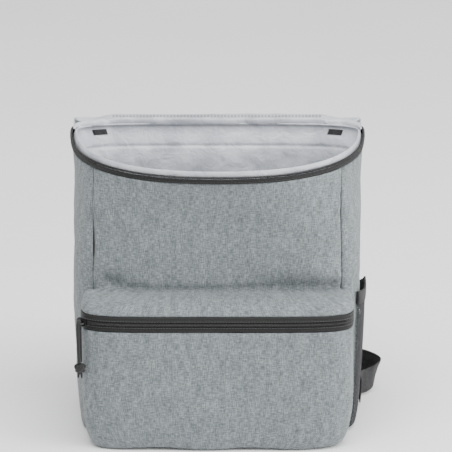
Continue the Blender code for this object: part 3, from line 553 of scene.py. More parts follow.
# %% [markdown]
# ## Nylon coil, acetal and thread
# The zips' teeth are one nylon wire wound in a coil: moulded smooth, so each tooth has a small highlight.
# The sliders are die-cast and painted gloss black, and the strap frames are moulded acetal, with the faint
# orange-peel that a tool's spark-eroded face leaves. Thread is twisted polyester.

# %% Moulded and painted finishes
def moulded(name, hex_code, roughness, grain, depth, ior=1.5):
    """A moulded or painted face with a fine grain."""
    made, tree, shader = new_material(name, roughness, ior=ior)
    place = add(tree, "ShaderNodeTexCoord")
    noise = add(tree, "ShaderNodeTexNoise", values={"Scale": 1 / grain, "Detail": 2.0},
                links={"Vector": (place, "Object")})
    colour = add(tree, "ShaderNodeMix", data_type="RGBA", links={"Factor": (noise, "Fac")})
    for socket, shade in ((6, 0.8), (7, 1.25)):
        colour.inputs[socket].default_value = (*(c * shade for c in linear(hex_code)[:3]), 1.0)
    tree.links.new(colour.outputs[2], shader.inputs["Base Color"])
    bump = add(tree, "ShaderNodeBump", values={"Strength": 0.3, "Distance": depth},
               links={"Height": (noise, "Fac")})
    tree.links.new(bump.outputs["Normal"], shader.inputs["Normal"])
    return made


NYLON = moulded("moulded_nylon_coil", "1A1A1A", 0.38, 0.0010, 0.00005, 1.53)
PAINT = moulded("gloss_black_paint", "1C1C1D", 0.22, 0.0030, 0.00003)
ACETAL = moulded("moulded_black_acetal", "1E1E20", 0.42, 0.0006, 0.00005, 1.48)
BLACK_THREAD = moulded("black_polyester_thread", "2B2B2C", 0.6, 0.0004, 0.00008)
GREY_THREAD = moulded("grey_polyester_thread", "4E5152", 0.65, 0.0004, 0.00008)

# %% [markdown]
# ## Building cloth
# Every cloth piece is a wall between two skins of points: the fair face, and the same points moved in along
# the surface's normal. The fair face gets relief first. Relief is a height over the smooth surface, in
# metres: soft waves where the foam behind gives, a sink at each seam, and small puckers where the thread
# gathers the cloth. The waves are sums of sines with seeded directions, so each run gives the same folds.

# %% Waves, seams and normals
SIZE_RANGE = (0.7, 1.8)


def waves(u, v, size, seed, count=16):
    """Smooth noise of height about one, with bumps of a size in metres."""
    random = np.random.default_rng(seed)
    total = 0.0
    for _ in range(count):
        heading, phase = random.uniform(0, 2 * math.pi, 2)
        number = 2 * math.pi / (size * random.uniform(*SIZE_RANGE))
        total = total + np.sin(number * (u * math.cos(heading) + v * math.sin(heading)) + phase)
    return total / math.sqrt(count)


SEAM_SINK = 0.0017
SEAM_REACH = 0.0024
PUCKER = 0.00022
PUCKER_REACH = 0.007
PUCKER_LENGTH = 0.010


def seam_relief(distance, along, seed, sink=SEAM_SINK):
    """Relief beside a seam: the cloth dives into it and puckers next to it."""
    dive = sink * np.exp(-(distance / SEAM_REACH) ** 2)
    pucker = PUCKER * np.exp(-distance / PUCKER_REACH) * waves(along, 0 * along, PUCKER_LENGTH, seed)
    return pucker - dive


def folds(places, size, seed, stretch=(1, 1, 1), count=18):
    """Smooth noise of height about one at places in space, its bumps stretched along the axes."""
    random = np.random.default_rng(seed)
    headings = unit(random.normal(size=(count, 3)))
    numbers = 2 * math.pi / (size * random.uniform(*SIZE_RANGE, count))
    phases = random.uniform(0, 2 * math.pi, count)
    turns = (places / np.array(stretch)) @ (headings * numbers[:, None]).T + phases
    return np.sin(turns).sum(axis=-1) / math.sqrt(count)


def grid_normals(grid, outward, closed=False):
    """Unit normals of a grid of points, pointing the way that outward does at the grid's middle."""
    if closed:
        wrapped = np.concatenate([grid[:, -1:], grid, grid[:, :1]], axis=1)
        across = np.gradient(wrapped, axis=1)[:, 1:-1]
    else:
        across = np.gradient(grid, axis=1)
    normals = np.cross(across, np.gradient(grid, axis=0))
    normals /= np.maximum(np.linalg.norm(normals, axis=-1, keepdims=True), 1e-12)
    middle = normals[grid.shape[0] // 2, grid.shape[1] // 2]
    return normals if np.dot(middle, outward) > 0 else -normals


def even_columns(grid, count):
    """Each row of a grid respaced evenly along itself."""
    return np.stack([spaced_rows(row, count) for row in grid])


def lengths(grid):
    """Distances in metres across and up a grid, measured along its middle row and column."""
    return np.meshgrid(walked(grid[grid.shape[0] // 2]), walked(grid[:, grid.shape[1] // 2]))


def raised(grid, relief, outward, closed=False):
    """A grid moved out along its normals."""
    return grid + relief[..., None] * grid_normals(grid, outward, closed)


TO_FRONT = np.array((0.0, -1.0, 0.0))
TO_BACK = np.array((0.0, 1.0, 0.0))
TO_RIGHT = np.array((1.0, 0.0, 0.0))
TO_TOP = np.array((0.0, 0.0, 1.0))

# %% [markdown]
# A grid becomes a mesh by joining neighbours into quads. The UV map holds metres of cloth, which keeps every
# thread the same size on every panel. Each piece then rides on the bag and says which solid it stands for.

# %% Grids to meshes
def link(name, mesh, finish, nodes=()):
    """An object for a mesh: it rides on the bag, has a finish, and may stand for nodes."""
    made = bpy.data.objects.new(name, mesh)
    bpy.context.scene.collection.objects.link(made)
    mesh.materials.append(finish)
    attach(made, BODY)
    if nodes:
        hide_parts(*nodes)
    return made


def quads_of(rows, columns, closed=False, start=0, flip=False):
    """The quads of a grid whose points are numbered row by row."""
    last = columns if closed else columns - 1
    i, j = np.meshgrid(np.arange(rows - 1), np.arange(last), indexing="ij")
    k = (j + 1) % columns
    quads = np.stack([i * columns + j, i * columns + k, (i + 1) * columns + k, (i + 1) * columns + j], -1)
    quads = quads.reshape(-1, 4) + start
    return quads[:, ::-1] if flip else quads


def mesh_of(name, points, faces, uv=None, smooth=True):
    """A mesh from arrays, with a UV map in metres where one is given for each point."""
    mesh = bpy.data.meshes.new(name)
    mesh.from_pydata(np.asarray(points).tolist(), [], faces if isinstance(faces, list) else faces.tolist())
    if uv is not None:
        layer = mesh.uv_layers.new(name=METRES)
        corners = np.zeros(len(mesh.loops), dtype=np.int32)
        mesh.loops.foreach_get("vertex_index", corners)
        layer.data.foreach_set("uv", np.asarray(uv, dtype=np.float32)[corners].ravel())
    if smooth:
        mesh.shade_smooth()
    return mesh


# %% [markdown]
# Cloth is a thin wall: the same points moved in along the normals make its inner skin, and quads round the
# edge join the two. A Solidify modifier would do this too, but here the inner skin can also be given.

# %% Walls of cloth
def wall(name, outer, thickness, outward, finish, nodes=(), closed=False, inner=None, relief=None):
    """A closed wall of cloth under a grid of points of its fair face, raised by its relief."""
    if relief is not None:
        outer = raised(outer, relief, outward, closed)
    rows, columns = outer.shape[:2]
    if inner is None:
        inner = outer - thickness * grid_normals(outer, outward, closed)
    u, v = lengths(outer)
    count = rows * columns
    faces = [quads_of(rows, columns, closed), quads_of(rows, columns, closed, count, True)]
    last = columns if closed else columns - 1
    j = np.arange(last)
    k = (j + 1) % columns
    for row, turned in ((0, True), (rows - 1, False)):
        edge = np.stack([row * columns + j, row * columns + k, count + row * columns + k,
                         count + row * columns + j], -1)
        faces.append(edge[:, ::-1] if turned else edge)
    if not closed:
        i = np.arange(rows - 1)
        for column, turned in ((0, False), (columns - 1, True)):
            edge = np.stack([i * columns + column, (i + 1) * columns + column,
                             count + (i + 1) * columns + column, count + i * columns + column], -1)
            faces.append(edge[:, ::-1] if turned else edge)
    points = np.vstack([outer.reshape(-1, 3), inner.reshape(-1, 3)])
    uv = np.tile(np.stack([u, v], -1).reshape(-1, 2), (2, 1))
    mesh = mesh_of(name, points, np.vstack(faces), uv)
    weld(mesh)
    print(name, len(mesh.polygons) * 2, "triangles")
    return link(name, mesh, finish, nodes)


def weld(mesh, distance=1e-6):
    """Joins points that lie together, drops faces with no area and turns the rest out."""
    work = bmesh.new()
    work.from_mesh(mesh)
    bmesh.ops.remove_doubles(work, verts=work.verts, dist=distance)
    bmesh.ops.dissolve_degenerate(work, edges=work.edges, dist=distance)
    bmesh.ops.recalc_face_normals(work, faces=work.faces)
    work.to_mesh(mesh)
    work.free()


# %% [markdown]
# ## The front panel
# On the real bag this is one flat piece of cloth over foam, sewn down both sides to the gussets. The rim's
# zip tape is sewn along its top, and the pocket hides its lower half. The relief gives it the broad hollow
# under the rim and the creases over the pocket. Nothing may stand proud where the pocket's crease lies on
# it, so there the waves fade out.

# %% Sew the front panel
RIM_TAPE_HEIGHT = 0.0046
WALL_FOOT = (BASE_THICKNESS + GAP) / BODY_HEIGHT
WALL_HEAD = 1 - (RIM_TAPE_HEIGHT + GAP) / BODY_HEIGHT
UP = np.linspace(WALL_FOOT, WALL_HEAD, 128)[:, None]
FRONT_COLUMNS = 130
BROAD_WAVE = 0.0007
BROAD_SIZE = 0.075
SMALL_WAVE = 0.00012
SMALL_SIZE = 0.016
CREASE_SHARE = POCKET_HEIGHT / BODY_HEIGHT
CREASE_FADE = 0.06


def cloth_waves(u, v, seed):
    """The soft waves of cloth over foam."""
    return BROAD_WAVE * waves(u, v, BROAD_SIZE, seed) + SMALL_WAVE * waves(u, v, SMALL_SIZE, seed + 1)


def seams_beside(u, v, seed):
    """Relief beside the seams down both edges of a panel."""
    return seam_relief(np.minimum(u, u.max() - u), v, seed)


# Creases over the pocket: their middle, reach across and up, and how deep they sink, all in metres
PINCHES = (
    # x, z, across, up, depth
    (-0.1040, 0.1640, 0.0085, 0.0050, 0.0058),
    (-0.0900, 0.1590, 0.0180, 0.0036, 0.0022),
    (0.0000, 0.1570, 0.1400, 0.0036, 0.0020),
    (0.0500, 0.1590, 0.0300, 0.0040, 0.0022),
    (0.0900, 0.1605, 0.0220, 0.0046, 0.0032),
    (0.1130, 0.1610, 0.0060, 0.0060, 0.0030),
)
# The same on the right gusset, next to the pocket's top corner
GUSSET_PINCHES = (
    # x, z, across, up, depth
    (0.1370, 0.1580, 0.0030, 0.0080, 0.0034),
    (0.1300, 0.1560, 0.0030, 0.0050, 0.0020),
)


def pinched(grid, table):
    """How deep a table's creases sink at each point."""
    depth = 0.0
    for x, z, across, up, deep in table:
        depth = depth + deep * np.exp(-((grid[..., 0] - x) / across) ** 2 - ((grid[..., 2] - z) / up) ** 2)
    return depth


def make_front_panel():
    edge = FRONT_SEAM - SEAM_GAP / 2
    x = np.linspace(-edge, edge, FRONT_COLUMNS)[None, :]
    grid = front_place(*np.broadcast_arrays(x, UP))
    u, v = lengths(grid)
    relief = cloth_waves(u, v, 11)
    free = np.clip((UP - CREASE_SHARE) / CREASE_FADE, 0.0, 1.0)
    relief = np.where(relief > 0, relief * free, relief)
    relief = relief + seams_beside(u, v, 12) - pinched(grid, PINCHES)
    wall("front_cloth", grid, WALL, TO_FRONT, HEATHER, ["front_panel"], relief=relief)


make_front_panel()

# %% [markdown]
# ## The gussets and the back
# Each gusset wraps from the front seam round the side to the rear seam. The right one has a pinched fold
# next to the pocket's top corner, where the mesh pocket's binding pulls on it, and lies flat under the mesh.
# The base is a disc of rings, each the box's outline drawn in a little.

# %% Sew the gussets, the back and the base
GUSSET_COLUMNS = 104
GUSSET_TURNS = 240
BACK_COLUMNS = 72
BACK_ROWS = 84
PROUD_UNDER_MESH = 0.0002
PROUD_ABOVE_MESH = 0.004
BASE_RINGS = (
    # share of the outline, height
    (0.0, 0.0),
    (0.4, 0.0),
    (0.8, 0.0),
    (0.97, 0.0),
    (0.992, 0.0004),
    (1.0, 0.0012),
    (1.0, 0.0024),
    (0.992, BASE_THICKNESS),
    (0.8, BASE_THICKNESS),
    (0.0, BASE_THICKNESS),
)


def gusset_grid(side):
    half, _, exponent = section(UP)
    front = seam_turn(FRONT_SEAM + SEAM_GAP / 2, half, exponent)
    rear = seam_turn(REAR_SEAM + SEAM_GAP / 2, half, REAR_EXPONENT)
    turn = -front + (rear + front) * np.linspace(0, 1, GUSSET_TURNS)[None, :]
    return even_columns(turn_place(side, turn, UP), GUSSET_COLUMNS)


def make_gusset(side, name):
    grid = gusset_grid(side)
    u, v = lengths(grid)
    relief = cloth_waves(u, v, 21 + side) + seams_beside(u, v, 31 + side)
    if side > 0:
        above = np.clip(UP - MESH_FRONT_HEIGHT / BODY_HEIGHT, 0, 1)
        relief = np.minimum(relief, PROUD_UNDER_MESH + PROUD_ABOVE_MESH * above)
        relief = relief - pinched(grid, GUSSET_PINCHES) * (grid[..., 1] < 0)
    wall(f"gusset_cloth_{name}", grid, WALL, side * TO_RIGHT, HEATHER,
         [f"side_gusset_{name}"], relief=relief)


def make_back():
    edge = REAR_SEAM - SEAM_GAP / 2
    up = np.linspace(WALL_FOOT, 1, BACK_ROWS)[:, None]
    grid = back_place(*np.broadcast_arrays(np.linspace(-edge, edge, BACK_COLUMNS)[None, :], up))
    u, v = lengths(grid)
    relief = np.minimum(cloth_waves(u, v, 41), 0.0) + seams_beside(u, v, 42)
    wall("back_cloth", grid, WALL, TO_BACK, HEATHER, ["back_panel"], relief=relief)


def ring(share, inset=0.0, columns=200):
    """A closed level ring round the box, evenly spaced."""
    turn = np.linspace(-MIDDLE, MIDDLE, columns)
    right = turn_place(1, turn, share, inset)
    left = turn_place(-1, turn[::-1], share, inset)[1:]
    return spaced_rows(np.vstack([right, left]), columns + 1)[:-1]


def make_base():
    outline = ring(0.0)
    grid = np.stack([outline * (share, share, 0.0) + (0.0, 0.0, height) for share, height in BASE_RINGS])
    rows, columns = grid.shape[:2]
    points = grid.reshape(-1, 3)
    mesh = mesh_of("base_cloth", points, quads_of(rows, columns, True), points[:, :2])
    weld(mesh)
    print("base_cloth", rows, "rings")
    link("base_cloth", mesh, HEATHER, ["base_panel"])


for side, name in SIDES:
    make_gusset(side, name)
make_back()
make_base()

# %% [markdown]
# ## The lining
# The lining is a loose tub of film sewn to the rim. Its lip stands over the zip as a light strip, a stiff
# facing runs a little way down inside, and below a sewn line the film hangs slack in long folds. A cloth
# simulation could find such folds, but the stiff film keeps the creases that it was packed with, so the folds
# are written as noise drawn out along the height, growing from the seam down.

# %% Hang the lining
LINER_WALL = 0.0016
LINER_SLACK = 0.0105
LIP_RISE = 0.006
LINER_FLOOR = 0.010
LINER_PROFILE = (
    # share of the height, slack
    (1 + LIP_RISE / BODY_HEIGHT, 0.14),
    (1 + 0.5 * LIP_RISE / BODY_HEIGHT, 0.03),
    (1.000, 0.00),
    (0.975, 0.10),
    (0.930, 0.65),
    (0.860, 1.05),
    (0.700, 1.00),
    (0.400, 0.75),
    (0.100, 0.70),
    (0.055, 0.85),
)
LINER_COLUMNS = 210
LINER_ROWS = 92
# The floor's rings, as shares of the lining's foot: the outer ones bend down to the floor
FLOOR_RINGS = (0.985, 0.965, 0.93, 0.88, 0.7, 0.45, 0.2, 0.0)
FLOOR_BEND = 0.88
FACING = 0.020
LINER_FOLDS = (
    # height, size, seed, how much longer than wide
    (0.0030, 0.045, 51, 3.5),
    (0.0015, 0.018, 52, 2.5),
    (0.0006, 0.012, 53, 1.2),
)
LIP_FOLDS = (0.0015, 0.017, 54, 1.6)
LOOSE_BELOW = 0.03
CALM_AT_FLOOR = 0.02
# The lip keeps still, so that it neither touches the coil nor leaves it
LIP_REACH = 0.008
LIP_CALM = 0.08
DEEPEST = -0.0012
SEWN_SINK = 0.0010
SEWN_WIDTH = 0.0016
REAR_CALM_Y = 0.052
REAR_CALM_REACH = 0.02


def liner_ring(share, slack, columns):
    """One level of the lining's face. Over the rim it rises everywhere but at the hinge."""
    level = ring(min(share, 1.0), WALL + GAP + slack * LINER_SLACK + LINER_WALL, columns)
    to_back = np.clip((level[:, 1] - WIDEST_Y + REAR_ROUND / 2) / REAR_ROUND, 0.0, 1.0)
    level[:, 2] += (max(share, 1.0) - 1.0) * BODY_HEIGHT * (1 - to_back)
    return level


def liner_grid():
    """The lining's smooth tub: its walls by the profile, then the floor's rings."""
    profile = smooth_rows([(*row, 0.0) for row in LINER_PROFILE], LINER_ROWS)
    rows = [liner_ring(share, slack, LINER_COLUMNS) for share, slack, _ in profile]
    foot = rows[-1]
    floor = LINER_FLOOR + LINER_WALL
    for share in FLOOR_RINGS:
        level = foot * (share, share, 1)
        bend = max(0.0, (share - FLOOR_BEND) / (1 - FLOOR_BEND)) ** 2
        level[:, 2] = floor + (foot[0, 2] - floor) * bend
        rows.append(level)
    return np.stack(rows)


def film_folds(grid, height, size, seed, drawn):
    """Folds of a height and a size, drawn out along the height of the bag."""
    return height * folds(grid, size, seed, (1, 1, drawn))


def make_liner():
    grid = liner_grid()
    below = rim_height(grid[..., 1]) - grid[..., 2]
    above = grid[..., 2] - LINER_FLOOR - LINER_WALL
    loose = np.clip((below - FACING) / LOOSE_BELOW, 0.0, 1.0) * np.clip(above / CALM_AT_FLOOR, 0.0, 1.0)
    relief = loose * sum(film_folds(grid, *layer) for layer in LINER_FOLDS)
    rear_calm = np.clip((REAR_CALM_Y - grid[..., 1]) / REAR_CALM_REACH, 0.1, 1)
    facing = np.clip(below / LIP_REACH, LIP_CALM, 1) * (1 - loose) * rear_calm
    relief = relief + film_folds(grid, *LIP_FOLDS) * facing
    relief = np.maximum(relief, DEEPEST * np.clip(below / LIP_REACH, 0.1, 1))
    relief -= SEWN_SINK * np.exp(-((below - FACING) / SEWN_WIDTH) ** 2)
    face = raised(grid, relief, TO_FRONT, True)
    wall("lining", face, LINER_WALL, TO_FRONT, LINING, ["liner"], closed=True)
    return face, below


LINING_FACE, BELOW_RIM = make_liner()

# %% [markdown]
# A dark woven patch lies on the folded lining at each rear corner, just under the rim. It is cut from the
# lining's own points and lifted a little.

# %% Lay a dark patch in each rear corner
CORNER_PATCH_TOP = 0.0002
CORNER_PATCH_FOOT = 0.009
CORNER_PATCH_INNER = 0.110
CORNER_PATCH_OUTER = 0.129
CORNER_PATCH_LIFT = 0.0007
CORNER_PATCH_WALL = 0.0005


# A dark woven patch on the lining at one rear corner, just under the rim.
def make_dark_corner_patch(side, name):
    rows = [row for row, depth in enumerate(BELOW_RIM.mean(axis=1)) if CORNER_PATCH_TOP < depth < CORNER_PATCH_FOOT]
    top = LINING_FACE[rows[0]]
    columns = [column for column, (x, y, _) in enumerate(top)
               if CORNER_PATCH_INNER < side * x < CORNER_PATCH_OUTER and y > 0]
    patch = LINING_FACE[np.ix_(rows, columns)]
    patch = patch + CORNER_PATCH_LIFT * grid_normals(patch, TO_FRONT)
    print("zip end", name, len(rows), "rows", len(columns), "columns")
    wall(f"dark_corner_patch_{name}", patch, CORNER_PATCH_WALL, TO_FRONT, WEBBING)


for side, name in SIDES:
    make_dark_corner_patch(side, name)

# %% [markdown]
# ## Tubes, coils and stitches
# Cords, coils and stitches are all a small round section swept along a line. The line carries a frame that
# turns as little as it can, so the section doesn't twist. A curve object with a bevel would do it too, but
# arrays let the radius change and carry a braid.

# %% Sweep a section along a line
def across_line(line, up=(0, 0, 1)):
    """Two directions across a line, carried along it without twist."""
    tangent = unit(np.gradient(line, axis=0))
    side = np.zeros_like(line)
    start = np.cross(tangent[0], up)
    if np.linalg.norm(start) < 0.1:
        start = np.cross(tangent[0], (1, 0, 0))
    side[0] = start / np.linalg.norm(start)
    for index in range(1, len(line)):
        kept = side[index - 1] - np.dot(side[index - 1], tangent[index]) * tangent[index]
        side[index] = kept / np.linalg.norm(kept)
    return side, np.cross(side, tangent)


def tube(line, radius, sides=10, relief=None):
    """Points, faces and UVs of a closed tube. The radius may change along the line."""
    line = np.asarray(line, dtype=float)
    side, up = across_line(line)
    turn = np.arange(sides) * 2 * math.pi / sides
    radii = np.broadcast_to(radius, (len(line),))[:, None] * np.ones(sides)
    if relief is not None:
        radii = radii + relief
    circle = side[:, None] * np.cos(turn)[None, :, None] + up[:, None] * np.sin(turn)[None, :, None]
    points = (line[:, None] + radii[..., None] * circle).reshape(-1, 3)
    count = len(points)
    faces = quads_of(len(line), sides, True).tolist()
    for centre, start, turned in ((line[0], 0, True), (line[-1], count - sides, False)):
        points = np.vstack([points, centre])
        middle = len(points) - 1
        for index in range(sides):
            a, b = start + index, start + (index + 1) % sides
            faces.append([middle, a, b] if not turned else [middle, b, a])
    around = np.arange(sides) * 2 * math.pi * float(np.mean(radii)) / sides
    uv = np.stack(np.meshgrid(around, walked(line)), -1).reshape(-1, 2)
    return points, faces, np.vstack([uv, uv[:1], uv[-1:]])


def joined(name, parts, finish, nodes=()):
    """One piece from several bodies given as points, faces and UVs."""
    points, faces, uvs = [], [], []
    count = 0
    for body_points, body_faces, uv in parts:
        points.append(body_points)
        faces.extend([[index + count for index in face] for face in body_faces])
        uvs.append(uv)
        count += len(body_points)
    mesh = mesh_of(name, np.vstack(points), faces, np.vstack(uvs))
    weld(mesh, 1e-7)
    return link(name, mesh, finish, nodes)


# %% [markdown]
# A coil is a tube round a flattened helix, on a core: its turns are the zip's teeth. A stitch is a short tube
# with closed, thinner ends, and a seam is many of them as one mesh. Both are real geometry, because their
# small highlights and shadows are what the eye reads as a zip or a seam.

# %% Wind coils and sew stitches
# A coil's half width, half height, pitch and wire
RIM_COIL = (0.0009, 0.0011, 0.0017, 0.0009)
POCKET_COIL = (0.0013, 0.0006, 0.0013, 0.0007)
TURN_STEPS = 9
CORE_STEP = 6
CORE_SHARE = 0.8


def coil(name, line, wound, up, node):
    """A flattened helix of nylon wire round a line, on a core."""
    across, over, pitch, wire = wound
    length = float(walked(line)[-1])
    count = int(length / pitch * TURN_STEPS)
    centre = spaced_rows(np.asarray(line, dtype=float), count)
    tangent = unit(np.gradient(centre, axis=0))
    lift = unit(up - np.sum(tangent * up, axis=1, keepdims=True) * tangent)
    side = np.cross(tangent, lift)
    phase = (np.arange(count) * 2 * math.pi / TURN_STEPS)[:, None]
    path = centre + across * np.cos(phase) * side + over * np.sin(phase) * lift
    core = tube(centre[::CORE_STEP], min(across, over) * CORE_SHARE, 8)
    joined(name, [tube(path, wire / 2, 5), core], NYLON, [node])
    print(name, round(length / pitch), "teeth")


# A stitch's pitch, length and radius
RIM_STITCH = (0.0034, 0.0026, 0.00028)
POCKET_STITCH = (0.0028, 0.0021, 0.00022)
HINGE_STITCH = (0.0034, 0.0025, 0.00024)
BINDING_STITCH = (0.0032, 0.0024, 0.00022)
STRAP_STITCH = (0.0036, 0.0027, 0.00028)
STITCH_SHAPE = (
    # along in lengths, thickness and rise in radii
    (-0.50, 0.3, -1.00),
    (-0.42, 0.8, -0.20),
    (-0.20, 1.0, 0.35),
    (0.20, 1.0, 0.35),
    (0.42, 0.8, -0.20),
    (0.50, 0.3, -1.00),
)


def stitches(name, line, up, stitch, finish):
    """A row of stitches along a line: each a short rounded tube that dips at its ends."""
    pitch, length, radius = stitch
    way = walked(line)
    up = np.broadcast_to(up, line.shape)
    along, thick, rise = np.array(STITCH_SHAPE).T
    parts = []
    for place in np.arange(pitch / 2, way[-1], pitch):
        path = np.stack([np.interp(place + along * length, way, line[:, axis]) for axis in range(3)], 1)
        lift = np.array([np.interp(place, way, up[:, axis]) for axis in range(3)])
        parts.append(tube(path + radius * rise[:, None] * lift, radius * thick, 5))
    print(name, len(parts), "stitches")
    joined(name, parts, finish)


# %% [markdown]
# ## The rim's zip
# Half of the main zip runs round the rim's front and sides: a woven tape, sewn on at its foot, and the coil
# along its top edge. The tape is woven with cords that hold the coil, so it has ridges along its length.

# %% Sew on the rim's zip
TAPE_WALL = 0.0012
RIM_TAPE_WALL = 0.8 * TAPE_WALL
FLAT_TAPE_WALL = 0.7 * TAPE_WALL
TAPE_PROUD = 0.0006
TAPE_FOOT_PROUD = 0.00036
COIL_DIAMETER = 0.0028
RIDGE = 0.00022
RIM_TAPE_ROWS = 19
RIM_COLUMNS = 170
RIM_COIL_COLUMNS = 200
RIM_STITCH_COLUMNS = 400
RIM_TAPE_RIDGES = 3
STITCHES_UP = 0.0016
STITCHES_PROUD = 0.0001


def rim_line(stand, columns, drop=0.0):
    """Points round the open rim from the rear left corner over the front to the rear right."""
    rear = seam_turn(REAR_SEAM + SEAM_GAP, section(1.0)[0], REAR_EXPONENT)
    right = turn_place(1, np.linspace(-MIDDLE, rear, columns), 1.0, 0.0, stand)
    left = right[:0:-1] * (-1, 1, 1)
    line = np.vstack([left, right])
    line[:, 2] -= drop
    return spaced_rows(line, 2 * columns - 1)


def level_out(way):
    """Level directions across a way, out of the bag: at its middle they look to the front."""
    out = unit(np.stack([way[:, 1], -way[:, 0], 0 * way[:, 0]], -1))
    return out if out[len(out) // 2, 1] < 0 else -out


def make_rim_zip():
    rows = []
    for step in np.linspace(0, 1, RIM_TAPE_ROWS):
        lean = TAPE_FOOT_PROUD + (TAPE_PROUD - TAPE_FOOT_PROUD) * min(2 * step, 1)
        ridge = RIDGE * math.cos(2 * math.pi * RIM_TAPE_RIDGES * step) * math.sin(math.pi * step) ** 0.5
        rows.append(rim_line(lean + ridge, RIM_COLUMNS, RIM_TAPE_HEIGHT * (1 - step)))
    wall("rim_tape", np.stack(rows), RIM_TAPE_WALL, TO_FRONT, TAPE, ["rim_zip_tape"])
    line = rim_line(TAPE_PROUD - TAPE_WALL / 2, RIM_COIL_COLUMNS, -(COIL_DIAMETER / 2 + GAP))
    coil("rim_coil", line, RIM_COIL, TO_TOP, "rim_zip_coil")
    foot = rim_line(TAPE_FOOT_PROUD + STITCHES_PROUD, RIM_STITCH_COLUMNS, RIM_TAPE_HEIGHT - STITCHES_UP)
    stitches("rim_stitches", foot, level_out(np.gradient(foot, axis=0)), RIM_STITCH, BLACK_THREAD)


make_rim_zip()

# %% [markdown]
# ## The rim's rear corners
# The photograph shows neither slider: at both rear corners the lining is turned out over the zip's ends, as a
# soft light roll that hides them. It starts thin at the widest point of the side and covers the tape by the
# corner. A few offsets from the wall's top, swept along the corner, give that roll.

# %% Turn the lining over the zip's ends
# Offsets from the wall's outer face at the rim, in metres
CORNER_ROLL = (
    # out, up
    (0.0012, -0.0072),
    (0.0022, -0.0040),
    (0.0025, -0.0005),
    (0.0021, 0.0034),
    (0.0002, 0.0056),
    (-0.0026, 0.0060),
    (-0.0048, 0.0044),
    (-0.0058, 0.0010),
)
ROLL_SEED = (-0.0030, 0.0036)
ROLL_FROM = math.radians(8)
ROLL_GROWS = math.radians(30)
ROLL_CLOSES = math.radians(4)
ROLL_PAST = 0.009
ROLL_COLUMNS = 90
ROLL_ROWS = 30
ROLL_THICK = 0.35
ROLL_RIPPLE = 0.0005
ROLL_RIPPLE_SIZE = 0.011
ROLL_WALL = 0.0006


def make_corner_roll(side, name):
    rear = seam_turn(REAR_SEAM - ROLL_PAST, section(1.0)[0], REAR_EXPONENT)
    turn = np.linspace(ROLL_FROM, rear, ROLL_COLUMNS)
    grown = eased((turn - ROLL_FROM) / ROLL_GROWS)
    closed = np.clip((rear - turn) / ROLL_CLOSES, 0, 1) ** 0.5
    profile = smooth_rows([(out, up, 0.0) for out, up in CORNER_ROLL], ROLL_ROWS)
    rows = []
    for index, (out, up, _) in enumerate(profile):
        share = closed * (grown if index < len(profile) / 2 else np.maximum(grown, ROLL_THICK))
        outs = ROLL_SEED[0] + (out - ROLL_SEED[0]) * share
        row = turn_place(side, turn, 1.0, 0.0, outs)
        row[:, 2] += ROLL_SEED[1] + (up - ROLL_SEED[1]) * share
        rows.append(row)
    grid = np.stack(rows)
    ripple = ROLL_RIPPLE * folds(grid, ROLL_RIPPLE_SIZE, 97 + side)
    wall(f"corner_roll_{name}", grid, ROLL_WALL, side * TO_RIGHT, LINING, relief=ripple)


for side, name in SIDES:
    make_corner_roll(side, name)

# %% [markdown]
# ## The front pocket
# The hood and the pocket's body are stiff enough to keep their box, and soft enough to roll over at the zip,
# where each edge is turned under and stands a little proud of the tape. The relief rises to that roll and
# rounds down at the very edge. Along the crease the hood is drawn in by its seam.

# %% Sew the pocket
POCKET_COIL_DIAMETER = 0.0032
COIL_START = math.radians(41)
EDGE_ROLL = 0.0007
EDGE_REACH = 0.0030
EDGE_DROP = 1.6
EDGE_SHARP = 0.3
HOOD_SINK = 0.0010
HOOD_SEAM = 0.0035
HOOD_WAVES = 0.6
HOOD_CALM = 0.006
END_SINK = 0.0007
END_REACH = 0.0025
END_FADE = 0.004
HOOD_ROWS = 44
POCKET_ROWS = 92
POCKET_TAPE_ROWS = 26
POCKET_COLUMNS = 200
POCKET_TURNS = 900
TURN_STEP = 0.01
POCKET_TAPE_RIDGES = 5
POCKET_TAPE_SINK = 0.0004
POCKET_CLOTH = 0.9 * POCKET_WALL
FOOT_FADE = 0.02


def pocket_grid(rows):
    turn = np.linspace(0, math.pi, POCKET_TURNS)[None, :]
    return even_columns(pocket_place(turn, np.asarray(rows)[:, None]), POCKET_COLUMNS)


def edge_roll(distance):
    """A turned edge: it stands up near the edge and rounds down at it."""
    rise = EDGE_ROLL * np.exp(-(distance / EDGE_REACH) ** 2)
    return rise - EDGE_DROP * EDGE_ROLL * np.exp(-(distance / (EDGE_SHARP * EDGE_REACH)) ** 2)


def make_hood():
    grid = pocket_grid(np.linspace(0.0, HOOD_FOOT, HOOD_ROWS))
    u, v = lengths(grid)
    ends = np.minimum(u, u.max() - u)
    relief = HOOD_WAVES * cloth_waves(u, v, 61) * np.clip(v / HOOD_CALM, 0, 1) + edge_roll(v.max() - v)
    relief = relief - HOOD_SINK * np.exp(-(v / HOOD_SEAM) ** 2)
    relief = relief * np.clip(ends / END_FADE, 0, 1) - END_SINK * np.exp(-(ends / END_REACH) ** 2)
    wall("pocket_hood_cloth", grid, POCKET_CLOTH, TO_FRONT, HEATHER,
         ["pocket_hood"], relief=relief)


def make_pocket_front():
    grid = pocket_grid(np.linspace(FRONT_HEAD, POCKET_LAST, POCKET_ROWS))
    u, v = lengths(grid)
    ends = np.minimum(u, u.max() - u)
    fade = np.clip((v.max() - v) / FOOT_FADE, 0, 1) * np.clip(ends / END_FADE, 0, 1)
    face = raised(grid, (cloth_waves(u, v, 71) + edge_roll(v)) * fade, TO_FRONT)
    face[..., 2] = np.maximum(face[..., 2], 0.0)
    made = wall("pocket_front_cloth", face, POCKET_CLOTH, TO_FRONT, HEATHER,
                ["pocket_front"])
    for vertex in made.data.vertices:
        vertex.co.z = max(vertex.co.z, 0.0)


